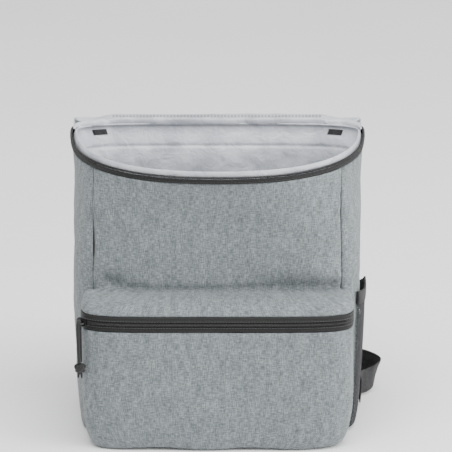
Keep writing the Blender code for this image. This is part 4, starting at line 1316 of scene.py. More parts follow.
def make_pocket_tape():
    rows = [pocket_row(z) for z in np.linspace(POCKET_ZIP_TOP, POCKET_ZIP_FOOT, POCKET_TAPE_ROWS)]
    grid = pocket_grid(rows)
    _, v = lengths(grid)
    across = v / v.max() - 0.5
    ridge = RIDGE * np.cos(2 * math.pi * POCKET_TAPE_RIDGES * across) - POCKET_TAPE_SINK
    wall("pocket_tape", grid, FLAT_TAPE_WALL, TO_FRONT, TAPE, ["pocket_zip_tape"],
         relief=ridge)


make_hood()
make_pocket_front()
make_pocket_tape()

# %% [markdown]
# The pocket's coil runs along the middle of its tape. One row of grey stitches above it and one below hold
# the hood and the pocket's body to the tape.

# %% Sew on the pocket's coil
POCKET_STITCHES_IN = 0.0046
POCKET_STITCHES_PROUD = 0.0001
POCKET_COIL_PROUD = 0.0006
STITCHES_START = 0.2
POCKET_SEAMS = (
    # name, height
    ("upper", POCKET_ZIP_TOP - POCKET_STITCHES_IN),
    ("lower", POCKET_ZIP_FOOT + POCKET_STITCHES_IN),
)


def pocket_line(row, stand, start, columns=POCKET_TURNS):
    """A line along the pocket's zip, standing off the cloth."""
    turn = np.linspace(start, math.pi - start, columns)
    spots = pocket_place(turn, row)
    out = level_out(pocket_place(turn + TURN_STEP, row) - pocket_place(turn - TURN_STEP, row))
    return spots + stand * out, out


line, _ = pocket_line(ZIP_ROW, POCKET_COIL_PROUD, COIL_START)
coil("pocket_coil", line, POCKET_COIL, TO_FRONT, "pocket_zip_coil")
for name, height in POCKET_SEAMS:
    line, out = pocket_line(pocket_row(height), POCKET_STITCHES_PROUD, STITCHES_START)
    stitches(f"pocket_{name}_stitches", line, out, POCKET_STITCH, GREY_THREAD)

# %% [markdown]
# ## Sliders and the corded pull
# A coil slider is two small plates round the coil, joined by a wedge, with a bridge over the top plate that
# the pull passes through. The rim's two sliders are parked under the corner rolls, so they are a little
# smaller there and have a low bridge.

# %% Make the sliders
SLIDER_LENGTH = 0.010
SLIDER_WIDTH = 0.0085
SLIDER_HEIGHT = 0.0042
BAIL_WIRE = 0.0016
BAIL_REACH = 0.0036
BAIL_FOOT = 0.0013
BAIL_RISE = 0.0053
SLIDER_PLAN = (
    # along and across, in half lengths and half widths: broad shoulders, a narrower tail
    (-1.0, 0.62),
    (-0.4, 0.72),
    (0.25, 1.0),
    (0.8, 1.0),
    (1.0, 0.8),
)
SLOT_SHARE = 0.35
WEDGE_RADIUS = 0.0016
WEDGE_PLACE = 0.22
WEDGE_SHARE = 0.6
SLIDER_BEVEL = 0.0003
LOW_BAIL = 0.0010
PARKED = (0.85, 0.55, 0.75, 1.0)
TUCKED = 0.0012


def frame_at(origin, forward, outward):
    """A matrix whose X runs forward and whose Z looks outward."""
    x = Vector(forward).normalized()
    z = Vector(outward)
    z = (z - z.dot(x) * x).normalized()
    y = z.cross(x)
    return Matrix.Translation(Vector(origin)) @ Matrix((x, y, z)).transposed().to_4x4()


def plate(work, low, high):
    half_length, half_width = SLIDER_LENGTH / 2, SLIDER_WIDTH / 2
    outline = [*SLIDER_PLAN, *((x, -y) for x, y in reversed(SLIDER_PLAN))]
    rings = [[work.verts.new((x * half_length, y * half_width, z)) for x, y in outline] for z in (low, high)]
    work.faces.new(rings[0][::-1])
    work.faces.new(rings[1])
    for index in range(len(outline)):
        following = (index + 1) % len(outline)
        work.faces.new((rings[0][index], rings[0][following], rings[1][following], rings[1][index]))


def make_slider(name, place, node, rise=BAIL_RISE):
    mesh = bpy.data.meshes.new(name)
    work = bmesh.new()
    half = SLIDER_HEIGHT / 2
    plate(work, -half, -half * SLOT_SHARE)
    plate(work, half * SLOT_SHARE, half)
    wedge = Matrix.Translation((SLIDER_LENGTH * WEDGE_PLACE, 0, 0))
    bmesh.ops.create_cone(work, cap_ends=True, segments=12, radius1=WEDGE_RADIUS, radius2=WEDGE_RADIUS,
                          depth=SLIDER_HEIGHT * WEDGE_SHARE, matrix=wedge)
    bmesh.ops.bevel(work, geom=work.edges[:], offset=SLIDER_BEVEL, segments=2, affect="EDGES")
    work.to_mesh(mesh)
    work.free()
    turn = np.linspace(0, math.pi, 24)
    arch = np.stack([BAIL_REACH * np.cos(turn), 0 * turn, BAIL_FOOT + rise * np.sin(turn)], -1)
    points, faces, uv = tube(arch, BAIL_WIRE / 2, 10)
    mesh.uv_layers.new(name=METRES)
    mesh.shade_smooth()
    mesh.set_sharp_from_angle(angle=math.radians(35))
    mesh.transform(place)
    link(name, mesh, PAINT, [node])
    world = np.array([place @ Vector(point) for point in points])
    joined(name + "_bridge", [(world, faces, uv)], PAINT)


coil_line, _ = pocket_line(ZIP_ROW, POCKET_COIL_DIAMETER / 2 + GAP, COIL_START, 34)
last, before = Vector(coil_line[-1]), Vector(coil_line[-3])
FORWARD = (last - before).normalized()
OUTWARD = Vector((-FORWARD.y, FORWARD.x, 0))
if OUTWARD.dot(last - Vector((0, WIDEST_Y, last.z))) < 0:
    OUTWARD = -OUTWARD
SLIDER_SEAT = last + FORWARD * (SLIDER_LENGTH / 2 + GAP)
SLIDER_SEAT += OUTWARD * (SLIDER_HEIGHT / 2 - POCKET_COIL_DIAMETER / 2 + GAP)
low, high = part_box("pocket_slider")
print("slider's place", tuple(round(c, 4) for c in SLIDER_SEAT), "frame", tuple((low + high) / 2))
make_slider("pocket_slider_body", frame_at(SLIDER_SEAT, FORWARD, OUTWARD), "pocket_slider")
rim_places = rim_line(TAPE_PROUD - TAPE_WALL / 2, 23)
for name, end, inner in (("left", rim_places[1], rim_places[2]), ("right", rim_places[-2], rim_places[-3])):
    low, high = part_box(f"rim_slider_{name}")
    spot = Vector(end) + Vector((0, 0, COIL_DIAMETER / 2))
    spot.x, spot.y = (low.x + high.x) / 2, (low.y + high.y) / 2 - TUCKED
    spot.x -= math.copysign(TUCKED, spot.x)
    place = frame_at(spot, end - inner, TO_TOP) @ Matrix.Diagonal(PARKED)
    make_slider(f"rim_slider_body_{name}", place, f"rim_slider_{name}", LOW_BAIL)

# %% [markdown]
# The pocket's pull is a doubled cord with an overhand knot and two short tails. The cord keeps the route that
# the fixed solid has: one smooth line over the slider's bridge, from knot to knot. The knot is a trefoil, the
# closed form of an overhand knot, written as three waves and wound on a core. A cord simulation would find
# the same shape only after much pulling. The braid is relief: two families of strands that cross.

# %% Thread and knot the pull
PULL_CORD_DIAMETER = 0.0030
PULL_DROP = 0.040
KNOT_RADIUS = 0.0056
TAIL_LENGTH = 0.0048
TAIL_POINT = 0.45
CORD_SWELL = 0.00012
BRAID_DEPTH = 0.00012
BRAID_PITCH = 0.0042
BRAID_STRANDS = 4
KNOT_CORD = 0.58
KNOT_WIDTH = 2.7
KNOT_DEPTH = 0.92
CORE_RADIUS = 0.86
TAIL_BRAID = 5 / 6
# From the knot up behind the bail's wire, over it and down in front: outward and turned in radii of the
# bend over the wire, dropped as a share of the drop
PULL_LOOP = (
    # outward, turned, dropped
    (-1.25, 0.00, 1.00),
    (-1.15, 0.00, 0.62),
    (-1.04, 0.00, 0.30),
    (-1.00, 0.00, 0.04),
    (-0.71, -0.71, 0.00),
    (0.00, -1.00, 0.00),
    (0.71, -0.71, 0.00),
    (1.00, 0.00, 0.04),
    (0.90, 0.00, 0.30),
    (0.52, 0.00, 0.62),
    (0.07, 0.00, 1.00),
)
PULL_TAIL = (
    # forward, knots, tails
    (0.30, 0.5, 0.0),
    (0.54, 1.0, 0.3),
    (0.66, 1.0, 1.0),
)
DOWN = Vector((0, 0, -1))
WIRE = SLIDER_SEAT + OUTWARD * (BAIL_FOOT + BAIL_RISE)
BEND = BAIL_WIRE / 2 + GAP + PULL_CORD_DIAMETER / 2


def braid(line, sides):
    """Relief of a round braid: strands cross in diamonds."""
    turn = BRAID_STRANDS * np.arange(sides)[None, :] * 2 * math.pi / sides
    along = 2 * math.pi * walked(line)[:, None] / BRAID_PITCH
    return BRAID_DEPTH * np.sin(turn + along) * np.sin(turn - along)


def knot_parts(heart):
    """The wound knot, its core and the two tails."""
    across, out = np.array(FORWARD), np.array(OUTWARD)
    t = np.linspace(0, 2 * math.pi, 180)
    swing = 2.0 + np.cos(3 * t)
    thick = PULL_CORD_DIAMETER * KNOT_CORD
    reach = (KNOT_RADIUS - thick) / 3
    wound = (heart + reach * (swing * np.sin(2 * t))[:, None] * out
             + reach * (KNOT_WIDTH * np.sin(3 * t))[:, None] * across
             + reach * KNOT_DEPTH * (swing * np.cos(2 * t))[:, None] * TO_TOP)
    core = np.linspace(-1, 1, 14)
    radii = KNOT_RADIUS * CORE_RADIUS * np.sqrt(np.maximum(1 - core ** 2, 0.02))
    parts = [tube(wound, thick, 16, braid(wound, 16)),
             tube(heart + (core * KNOT_RADIUS * CORE_RADIUS)[:, None] * TO_TOP, radii, 16)]
    for sign in (1, -1):
        tail = [heart + sign * aside * PULL_CORD_DIAMETER * across
                - TO_TOP * (knots * KNOT_RADIUS + tails * TAIL_LENGTH) for aside, knots, tails in PULL_TAIL]
        path = smooth_rows(tail, 24)
        thin = np.linspace(1.0, TAIL_POINT, len(path)) * PULL_CORD_DIAMETER / 2
        parts.append(tube(path, thin, 16, braid(path, 16) * TAIL_BRAID))
    return parts


def make_pull():
    route = []
    for out, turned, dropped in PULL_LOOP:
        route.append(tuple(WIRE + BEND * out * OUTWARD + (BEND * turned + PULL_DROP * dropped) * DOWN))
    line = smooth_rows(route, 150)
    cord = joined("pull_cord_loop", [tube(line, PULL_CORD_DIAMETER / 2 + CORD_SWELL, 24, braid(line, 24))],
                  CORD, ["pull_cord"])
    heart = (line[0] + line[-1]) / 2 + np.array(DOWN) * (KNOT_RADIUS + GAP)
    knot = joined("pull_knot_wound", knot_parts(heart), CORD, ["pull_knot"])


make_pull()

# %% [markdown]
# ## The lid
# The lid is a padded panel with the rim's own outline, folded right back over the rear edge, so it hangs
# behind with its lining outside and its heather cloth to the straps. A skirt with the other half of the main
# zip stands round its edge. All of it is laid out flat and then bent: each point has a place across, a
# distance from the hinge and a stand off the middle, and one smooth path says where that distance lies.

# %% Fold the lid back
LID_LENGTH = 0.170
LID_THICKNESS = 0.004
LID_LINING_WALL = 0.001
LID_HANG = 0.028
LID_TIP = 0.0014
LID_DROOP = 0.0060
DROOP_START = 0.102
DROOP_END = 0.126
DROOP_REACH = 0.030
LID_ROLL = (
    # behind, above
    (-0.20, 0.095),
    (0.20, 0.115),
    (0.62, 0.01),
    (0.92, -0.30),
    (1.00, -0.90),
)
LID_STRAIGHT_KNOTS = 8
LID_STEPS = 400
LID_KNOTS = [(behind * LID_HANG, above * LID_HANG) for behind, above in LID_ROLL]
for step in range(1, LID_STRAIGHT_KNOTS + 1):
    share = step / LID_STRAIGHT_KNOTS
    LID_KNOTS.append((LID_HANG, LID_ROLL[-1][1] * LID_HANG * (1 - share) - LID_LENGTH * share))
HINGE_TOP = rim_height(BACK_Y)
LID_PATH = smooth_rows([(0, BACK_Y + behind, HINGE_TOP + above) for behind, above in LID_KNOTS], LID_STEPS)
LID_STEP = float(np.linalg.norm(LID_PATH[1] - LID_PATH[0]))
LID_REAR_SHARE = REAR_ROUND / (FRONT_REACH * BODY_SECTIONS[-1][2] + REAR_ROUND)
REAR_SHRINK = 1 - float(superellipse(REAR_SEAM / section(1.0)[0], REAR_EXPONENT))
LID_START = LID_LENGTH * LID_REAR_SHARE * REAR_SHRINK
print("the lid's path is", round(float(walked(LID_PATH)[-1]), 4), "m long")


def lid_half_width(distance):
    half, _, exponent = section(1.0)
    rear = LID_LENGTH * LID_REAR_SHARE
    near = half * superellipse((rear - distance) / rear, REAR_EXPONENT)
    far = half * superellipse((distance - rear) / (LID_LENGTH - rear), exponent)
    return np.where(distance < rear, near, far)


def lid_place(x, distance, stand):
    """A point of the lid. Its corners droop where it leaves the box's rear corners."""
    x, distance, stand = np.broadcast_arrays(x, distance, stand)
    free = eased((np.abs(x) - DROOP_START) / (DROOP_END - DROOP_START))
    droop = LID_DROOP * free * np.exp(-((distance - LID_START) / DROOP_REACH) ** 2)
    place = np.minimum((distance - LID_START) / LID_STEP, len(LID_PATH) - 2.001)
    low = np.maximum(place, 0).astype(int)
    part = (place - low)[..., None]
    here = LID_PATH[low] * (1 - part) + LID_PATH[low + 1] * part
    way = unit(LID_PATH[low + 1] - LID_PATH[low])
    normal = np.stack([0 * x, -way[..., 2], way[..., 1]], -1)
    return np.stack([x, here[..., 1], here[..., 2] - droop], -1) + normal * stand[..., None]


def lid_edge(inset, steps):
    """Half of the lid's edge from the hinge to the tip: x and distance."""
    end = LID_LENGTH - LID_TIP
    distance = LID_START + (end - LID_START) * np.sin(np.linspace(0, 1, steps) * MIDDLE)
    line = np.stack([lid_half_width(distance), distance], -1)
    way = unit(np.gradient(line, axis=0))
    x = line[:, 0] - way[:, 1] * inset
    return np.stack([x, np.maximum(line[:, 1] + way[:, 0] * inset, LID_START)], -1)


def lid_grid(inset, stand, rows=84, columns=72):
    edge = lid_edge(inset, rows)
    across = np.linspace(-1, 1, columns)[None, :]
    return lid_place(edge[:, :1] * across, edge[:, 1:], stand)


# %% [markdown]
# The lid's film is turned over its front edge and its corners, so a light roll shows behind the mouth. The
# edge is one line from corner to corner, smoothed by a moving average where it turns. The film is that line
# swept round a half circle, from under the lid's cloth to the top of its lining.

# %% Turn the film over the lid's edge
SKIRT_START = 3 / 19
EDGE_STEPS = 400
EDGE_PAST = 6
HINGE_STEPS = 500
EDGE_ROUND = 14
EDGE_LAP = 0.0035
EDGE_BLEND = 27
EDGE_WALL = 0.4 * LID_LINING_WALL
EDGE_RIPPLE = 0.0004
EDGE_RIPPLE_SIZE = 0.016
HINGE_ROLL = 0.0010


def make_edge_film(face_stand):
    side = lid_edge(TAPE_WALL + GAP, EDGE_STEPS)[:int(EDGE_STEPS * SKIRT_START) + EDGE_PAST]
    hinge = np.column_stack([np.linspace(-side[0, 0], side[0, 0], HINGE_STEPS),
                             np.full(HINGE_STEPS, LID_START)])
    line = np.vstack([side[::-1] * (-1, 1), hinge[1:-1], side])
    line = spaced_rows(np.column_stack([line, 0 * line[:, 0]]), EDGE_STEPS)[:, :2]
    window = np.ones(EDGE_BLEND) / EDGE_BLEND
    reach = EDGE_BLEND // 2
    for axis in (0, 1):
        line[reach:-reach, axis] = np.convolve(line[:, axis], window, "valid")
    out = level_out(np.gradient(line, axis=0))[:, :2]
    low, high = -LID_THICKNESS / 2 - LID_LINING_WALL / 2, face_stand + LID_LINING_WALL / 4
    middle, radius = (low + high) / 2, (high - low) / 2
    turned = [(HINGE_ROLL * math.sin(math.pi * step), middle - radius * math.cos(math.pi * step))
              for step in np.linspace(0, 1, EDGE_ROUND)]
    laps = (-EDGE_LAP, -EDGE_LAP / 2)
    rows = []
    for offset, stand in [*((lap, low) for lap in laps), *turned, *((lap, high) for lap in reversed(laps))]:
        spot = line + out * offset
        rows.append(lid_place(spot[:, 0], spot[:, 1], stand))
    grid = np.stack(rows)
    ripple = EDGE_RIPPLE * folds(grid, EDGE_RIPPLE_SIZE, 95)
    wall("lid_edge_film", grid, EDGE_WALL, TO_FRONT, LINING, relief=ripple)


# %% [markdown]
# The cloth of the lid is a padded wall whose fair face hangs to the straps. Its film is a thinner sheet with
# wrinkles that run across, held flat near its edges. Two rows of stitches hold the film along the hinge.

# %% Pad and line the lid
LID_ROUND = 0.0016
LID_ROUND_REACH = 0.004
LID_WAVES = 0.7
LID_PROUD = 0.0004
LID_FILM_WALL = 0.6 * LID_LINING_WALL
FILM_ROWS = 110
FILM_COLUMNS = 96
FILM_WRINKLES = (
    # height, size, seed, how much wider than long
    (0.0008, 0.040, 91, 1.6),
    (0.0003, 0.013, 92, 1.0),
)
FILM_EDGE = 0.010
FILM_HINGE = 0.012
HINGE_STITCHES = (0.0055, 0.0090)
HINGE_STITCHES_END = 0.9
STITCH_LIFT = 0.0004


def from_lid_edge(u, v):
    """Roughly how far each point of a lid grid is from the lid's sides and tip."""
    across = np.abs(np.linspace(-1, 1, u.shape[1]))[None, :] * np.ones_like(u)
    return np.minimum((1 - across) * HALF_WIDTH, v.max() - v)


def make_lid():
    half = LID_THICKNESS / 2
    cloth = lid_grid(TAPE_WALL + GAP, -half)
    inner = lid_grid(TAPE_WALL + GAP, half)
    u, v = lengths(cloth)
    round_off = LID_ROUND * np.exp(-(from_lid_edge(u, v) / LID_ROUND_REACH) ** 2)
    relief = np.minimum(LID_WAVES * cloth_waves(u, v, 81) - round_off, LID_PROUD)
    made = wall("lid_cloth", cloth, LID_THICKNESS, TO_FRONT, HEATHER, ["lid"],
                inner=inner, relief=relief)


def make_lid_film():
    stand = LID_THICKNESS / 2 + GAP + LID_LINING_WALL
    face = lid_grid(TAPE_WALL + 2 * GAP, stand, FILM_ROWS, FILM_COLUMNS)
    u, v = lengths(face)
    wrinkle = sum(height * folds(face, size, seed, (wide, 1, 1))
                  for height, size, seed, wide in FILM_WRINKLES)
    relief = (np.maximum(wrinkle, -LID_PROUD) * np.clip(from_lid_edge(u, v) / FILM_EDGE, 0, 1)
              * np.clip(v / FILM_HINGE - 1, 0, 1))
    wall("lid_film", face, LID_FILM_WALL, TO_BACK, LINING, ["lid_lining"],
         relief=relief)
    make_edge_film(stand)
    for index, distance in enumerate(HINGE_STITCHES):
        across = np.linspace(-HINGE_STITCHES_END, HINGE_STITCHES_END, 200) * REAR_SEAM
        line = lid_place(across, LID_START + distance, stand) + STITCH_LIFT * TO_TOP
        stitches(f"hinge_stitches_{index}", line, TO_TOP, HINGE_STITCH, GREY_THREAD)


make_lid()
make_lid_film()

# %% [markdown]
# The skirt stands off the lid's edge like the rim's tape off the rim, with the second coil on it. It starts a
# little way from the hinge and tapers in there, where both halves of the zip end.

# %% Sew on the lid's zip
SKIRT_TAPER = 0.016
SKIRT_ROWS = 20
SKIRT_COLUMNS = 260
SKIRT_RIDGES = 4


def skirt_edge(inset):
    """The lid's edge all round, from hinge to hinge, without its first stretch."""
    half = lid_edge(inset, EDGE_STEPS)[int(EDGE_STEPS * SKIRT_START):]
    line = np.vstack([half * (-1, 1), half[::-1]])
    return spaced_rows(np.column_stack([line, 0 * line[:, 0]]), SKIRT_COLUMNS)[:, :2]


def make_lid_zip():
    rows = []
    edge = skirt_edge(0.0)
    away = unit(edge - (0.0, LID_LENGTH / 2))
    along = walked(edge)
    taper = np.clip(np.minimum(along, along[-1] - along) / SKIRT_TAPER, 0.1, 1)
    for step in np.linspace(0, 1, SKIRT_ROWS):
        stand = -LID_THICKNESS / 2 + (LID_THICKNESS + RIM_TAPE_HEIGHT * taper) * step
        ridge = RIDGE * math.cos(2 * math.pi * SKIRT_RIDGES * step) - RIDGE
        spot = edge + away * ridge
        rows.append(lid_place(spot[:, 0], np.maximum(spot[:, 1], LID_START), stand))
    wall("lid_tape", np.stack(rows), FLAT_TAPE_WALL, -TO_TOP, TAPE, ["lid_zip_tape"])
    edge = skirt_edge(TAPE_WALL / 2)
    above = RIM_TAPE_HEIGHT * taper + COIL_DIAMETER / 2 + GAP
    line = lid_place(edge[:, 0], edge[:, 1], LID_THICKNESS / 2 + above)
    coil("lid_coil", line, RIM_COIL, TO_BACK, "lid_zip_coil")


make_lid_zip()

# %% [markdown]
# ## The mesh pocket
# The side pocket is knitted mesh: a net with hexagonal holes, so the grey cloth shows through it. A
# see-through material would be lighter, but a real net casts its own small shadows. Each cell is a hexagon
# with a smaller one cut out. Cells share their corners, so the net is one piece. The holes are drawn 2.6 mm
# apart, a little coarser than the real ones, so that they show.

# %% Knit the mesh pocket
MESH_SEAT = 0.0006
MESH_FOOT = 0.004
MESH_BULGE = 0.0062
MESH_WALL = 0.0012
BINDING_HEIGHT = 0.014
BINDING_WALL = 0.0016
MESH_PITCH = 0.0026
MESH_THREAD = 0.00045
NET_TOP = 1 - BINDING_HEIGHT / MESH_FRONT_HEIGHT
ROW_STEP = 0.866
CELL_RADIUS = 1 / 1.732
HOLE_SHARE = 0.66


def mesh_stand(part, row):
    """How far the mesh's inner face stands off the side."""
    return MESH_SEAT + MESH_BULGE * np.sin(math.pi * np.clip(part, 0, 1)) ** 0.6 * (0.25 + 0.75 * row ** 0.5)


def mesh_place(part, row, wall_stand):
    turn = -MESH_FRONT_TURN + (MESH_FRONT_TURN + MESH_REAR_TURN) * part
    top = MESH_FRONT_HEIGHT + (MESH_REAR_HEIGHT - MESH_FRONT_HEIGHT) * part
    z = MESH_FOOT + (top - MESH_FOOT) * row
    place = turn_place(1, turn, z / BODY_HEIGHT, 0.0, mesh_stand(part, row) + wall_stand)
    place[..., 2] = z
    return place


def make_net():
    part = np.linspace(0, 1, 300)
    arc = mesh_place(part, 0.5 + 0 * part, 0.0)
    way = walked(arc)
    width = way[-1]
    height = MESH_FRONT_HEIGHT * NET_TOP
    columns = int(width / MESH_PITCH)
    rows = int(height / (MESH_PITCH * ROW_STEP))
    corners = []
    faces = []
    index = {}

    def corner(u, v):
        key = (round(u, 4), round(v, 4))
        if key not in index:
            index[key] = len(corners)
            corners.append((u, v))
        return index[key]

    turns = np.radians(30 + 60 * np.arange(6))
    for row in range(rows):
        for column in range(columns):
            u = column + 0.5 + 0.5 * (row % 2)
            v = (row + 0.5) * ROW_STEP
            outer, inner = ([corner(u + radius * math.cos(t), v + radius * math.sin(t)) for t in turns]
                            for radius in (CELL_RADIUS, CELL_RADIUS * HOLE_SHARE))
            for k in range(6):
                following = (k + 1) % 6
                faces.append((outer[k], outer[following], inner[following], inner[k]))
    flat = np.array(corners)
    share_u = flat[:, 0] / (columns + 0.5)
    share_v = np.clip(flat[:, 1] / (rows * ROW_STEP), 0, 1) * NET_TOP
    place = np.interp(np.clip(share_u, 0, 1) * width, way, part)
    skins = [mesh_place(place, share_v, stand) for stand in (MESH_WALL / 2, MESH_WALL / 2 + MESH_THREAD)]
    count = len(flat)
    faces = np.array(faces)
    both = [faces[:, ::-1], faces + count]
    edges = np.vstack([faces[:, [k, (k + 1) % 4]] for k in range(4)])
    ordered = np.sort(edges, axis=1)
    _, where, times = np.unique(ordered, axis=0, return_index=True, return_counts=True)
    rim = edges[where[times == 1]]
    both.append(np.stack([rim[:, 0], rim[:, 1], rim[:, 1] + count, rim[:, 0] + count], -1))
    uv = np.tile(flat * MESH_PITCH, (2, 1))
    mesh = mesh_of("mesh_net", np.vstack(skins), np.vstack(both), uv)
    weld(mesh, 1e-7)
    print("net", columns * rows, "cells,", len(mesh.polygons) * 2, "triangles")
    link("mesh_net", mesh, NET, ["mesh_pocket"])


# %% [markdown]
# A folded binding covers the net's top edge. It is a wall whose face swells a little in the middle and is
# drawn in along its row of stitches.

# %% Bind the mesh pocket
BINDING_COLUMNS = 130
BINDING_ROWS = 30
BINDING_SWELL = 0.0004
BINDING_DRAWN = 0.0002
BINDING_SEAM = 0.14
BINDING_SEAM_WIDTH = 0.06


def make_binding():
    part = np.linspace(0, 1, BINDING_COLUMNS)[None, :]
    row = np.linspace(NET_TOP, 1.0, BINDING_ROWS)[:, None]
    part, row = np.broadcast_arrays(part, row)
    share = (row - NET_TOP) / (1 - NET_TOP)
    drawn = BINDING_DRAWN * np.exp(-((share - BINDING_SEAM) / BINDING_SEAM_WIDTH) ** 2)
    outer = mesh_place(part, row, BINDING_WALL + BINDING_SWELL * np.sin(math.pi * share) - drawn)
    wall("mesh_pocket_binding", outer, BINDING_WALL, TO_RIGHT, BINDING, ["mesh_binding"],
         inner=mesh_place(part, row, 0.0))
    part = np.linspace(0.01, 0.99, 200)
    line = mesh_place(part, NET_TOP + BINDING_SEAM * (1 - NET_TOP) + 0 * part, BINDING_WALL)
    stitches("binding_stitches", line, TO_RIGHT, BINDING_STITCH, BLACK_THREAD)


NET = ribbed("knitted_polyester_mesh", "202022", "3C3C40", 0.0007, 0.8, 0.5, 0.002)
make_net()
make_binding()

# %% [markdown]
# ## Straps and webbing
# The shoulder straps are foam between two cloths, bound all round. Webbing is flat and stiff across its
# width, and bends only along its length, so it is a section swept along a route: the section's width
# direction is chosen at each place, and the band twists from one to the next.

# %% Sweep a flat band
def band(rows, widths, thickness, columns=28, exponent=6.0, relief=None):
    """Points, faces and UVs of a flat band. Rows hold a place and the width's direction."""
    path = rows[:, :3]
    tangent = unit(np.gradient(path, axis=0))
    side = unit(rows[:, 3:6] - np.sum(rows[:, 3:6] * tangent, axis=1, keepdims=True) * tangent)
    lift = np.cross(tangent, side)
    turn = np.linspace(0, 2 * math.pi, 2 * columns, endpoint=False)
    c, s = np.cos(turn), np.sin(turn)
    across = np.sign(c) * np.abs(c) ** (2 / exponent)
    over = np.sign(s) * np.abs(s) ** (2 / exponent)
    widths = np.broadcast_to(widths, (len(path),))
    raise_by = 0.0 if relief is None else relief(across[None, :], np.linspace(0, 1, len(path))[:, None])
    points = (path[:, None] + side[:, None] * (widths[:, None] / 2 * across[None, :])[..., None]
              + lift[:, None] * ((thickness / 2 + raise_by) * over[None, :])[..., None])
    ring_size = points.shape[1]
    faces = quads_of(len(path), ring_size, True).tolist()
    faces.append(list(range(ring_size))[::-1])
    faces.append(list(range((len(path) - 1) * ring_size, len(path) * ring_size)))
    u = widths[:, None] / 2 * across[None, :]
    uv = np.stack([u, np.broadcast_to(walked(path)[:, None], u.shape)], -1)
    return points.reshape(-1, 3), faces, uv.reshape(-1, 2)


# %% [markdown]
# The real strap is cut flat, bound round its edge and quilted by one line of stitches near each side. Its
# curve is a short table of places and widths, from the top of the back down to the frame. The pad's relief
# thins it to the edges and sinks it along the stitches.

# %% Shoulder straps
STRAP_WIDTH = 0.058
STRAP_THICKNESS = 0.008
STRAP_TOP = 0.262
STRAP_FACE = BACK_Y + GAP + STRAP_THICKNESS / 2
STRAP_STEPS = 15
STRAP_SEAM = 0.80
STRAP_SEAM_WIDTH = 0.03
STRAP_EDGE = 0.16
STRAP_END = 0.04
STRAP_LOW = 0.0010
STRAP_THIN = 0.0016
STRAP_GROOVE = 0.0006
EDGING_RADIUS = 0.0019
EDGING_IN = 0.0012
STITCHES_IN = 0.0014
STRAP_LINE = (
    # across, behind, height, width
    (0.350, 0.02, 1.00, 1.00),
    (0.355, 0.08, 0.90, 1.00),
    (0.380, 0.24, 0.72, 1.00),
    (0.420, 0.36, 0.54, 0.97),
    (0.480, 0.38, 0.38, 0.86),
    (0.540, 0.34, 0.27, 0.66),
)
STRAP_CLOTH = ribbed("padded_strap_cloth", "161617", "2A2A2C", 0.0012, 0.85, 0.4, 0.0012)


def strap_rows(side):
    rows = []
    for across, behind, height, width in STRAP_LINE:
        rows.append((side * HALF_WIDTH * across, STRAP_FACE + behind * LID_HANG, STRAP_TOP * height,
                     1, 0, 0, STRAP_WIDTH * width))
    return rows


def make_strap(side, name):
    rows = smooth_rows(strap_rows(side), 120)

    def pad(across, along):
        edge = np.clip((1 - np.abs(across)) / STRAP_EDGE, 0, 1)
        ends = np.clip(np.minimum(along, 1 - along) / STRAP_END, 0, 1) ** 0.5
        groove = np.exp(-((np.abs(across) - STRAP_SEAM) / STRAP_SEAM_WIDTH) ** 2)
        return -STRAP_LOW - STRAP_THIN * (1 - edge * ends) - STRAP_GROOVE * groove

    parts = [band(rows, rows[:, 6] - 0.002, STRAP_THICKNESS, 40, 5.0, pad)]
    made = joined(f"strap_{name}", parts, STRAP_CLOTH, [f"shoulder_strap_{name}"])
    edges = [tube(rows[:, :3] + edge * (rows[:, 6:7] / 2 - EDGING_IN) * TO_RIGHT, EDGING_RADIUS, 10)
             for edge in (-1, 1)]
    joined(f"strap_edging_{name}", edges, BINDING)
    for place, edge in (("inner", -STRAP_SEAM), ("outer", STRAP_SEAM)):
        line = rows[:, :3] + edge * rows[:, 6:7] / 2 * TO_RIGHT
        line = line + (STRAP_THICKNESS / 2 - STITCHES_IN) * TO_BACK
        stitches(f"strap_{place}_stitches_{name}", line[3:-3], TO_BACK, STRAP_STITCH, GREY_THREAD)
    return smooth_rows(strap_rows(side), STRAP_STEPS)


# %% [markdown]
# The webbing turns round the bar of the frame at the strap's foot, and is sewn to the bag's lower corner. On
# the right it makes a loop that shows beside the bag. Its route is three short tables joined: round the
# frame's bar, free through the air, and flat on the side. The frames keep their solids and get a moulded
# finish, because so plain a part needs no finer mesh.

# %% Ladder locks and lower webbing
WEBBING_WIDTH = 0.025
WEBBING_THICKNESS = 0.0016
BUCKLE_HEIGHT = 0.024
BUCKLE_BAR = 0.004
BUCKLE_THICKNESS = 0.004
RIGHT_WEBBING = (
    # across, behind, height, turned
    (0.640, 0.47, 1.26, 0.30),
    (0.710, 0.52, 1.00, 0.70),
    (0.797, 0.58, 0.96, 0.97),
    (0.895, 0.60, 1.02, 1.00),
    (0.986, 0.56, 1.04, 1.00),
    (1.072, 0.40, 0.96, 0.94),
    (1.132, 0.06, 0.84, 0.80),
    (1.112, -0.38, 0.70, 0.88),
    (1.062, -0.74, 0.60, 1.00),
)
LEFT_WEBBING = (
    # across, behind, height, turned
    (0.635, 0.46, 1.22, 0.34),
    (0.685, 0.40, 0.94, 0.75),
    (0.740, 0.20, 0.76, 0.98),
)
FRAME_TURN = (
    # foot, forward
    (5.50, 1.80),
    (2.50, 1.25),
    (0.13, 1.00),
    (-0.85, 0.92),
    (-1.17, 0.00),
    (-0.85, -0.92),
    (0.13, -1.00),
    (1.50, -1.00),
)
RIGHT_SEAT_TURNS = (0.12, -0.16)
LEFT_SEAT_TURNS = (0.79, 0.72, 0.65, 0.58, 0.51)
SEAT_HEIGHT = 0.62
WEBBING_SEAT = 0.0008
SEAT_ROW = 0.35
WEBBING_STEPS = 11
WEBBING_RIBS = 9
WEBBING_RIB_DEPTH = 0.00012


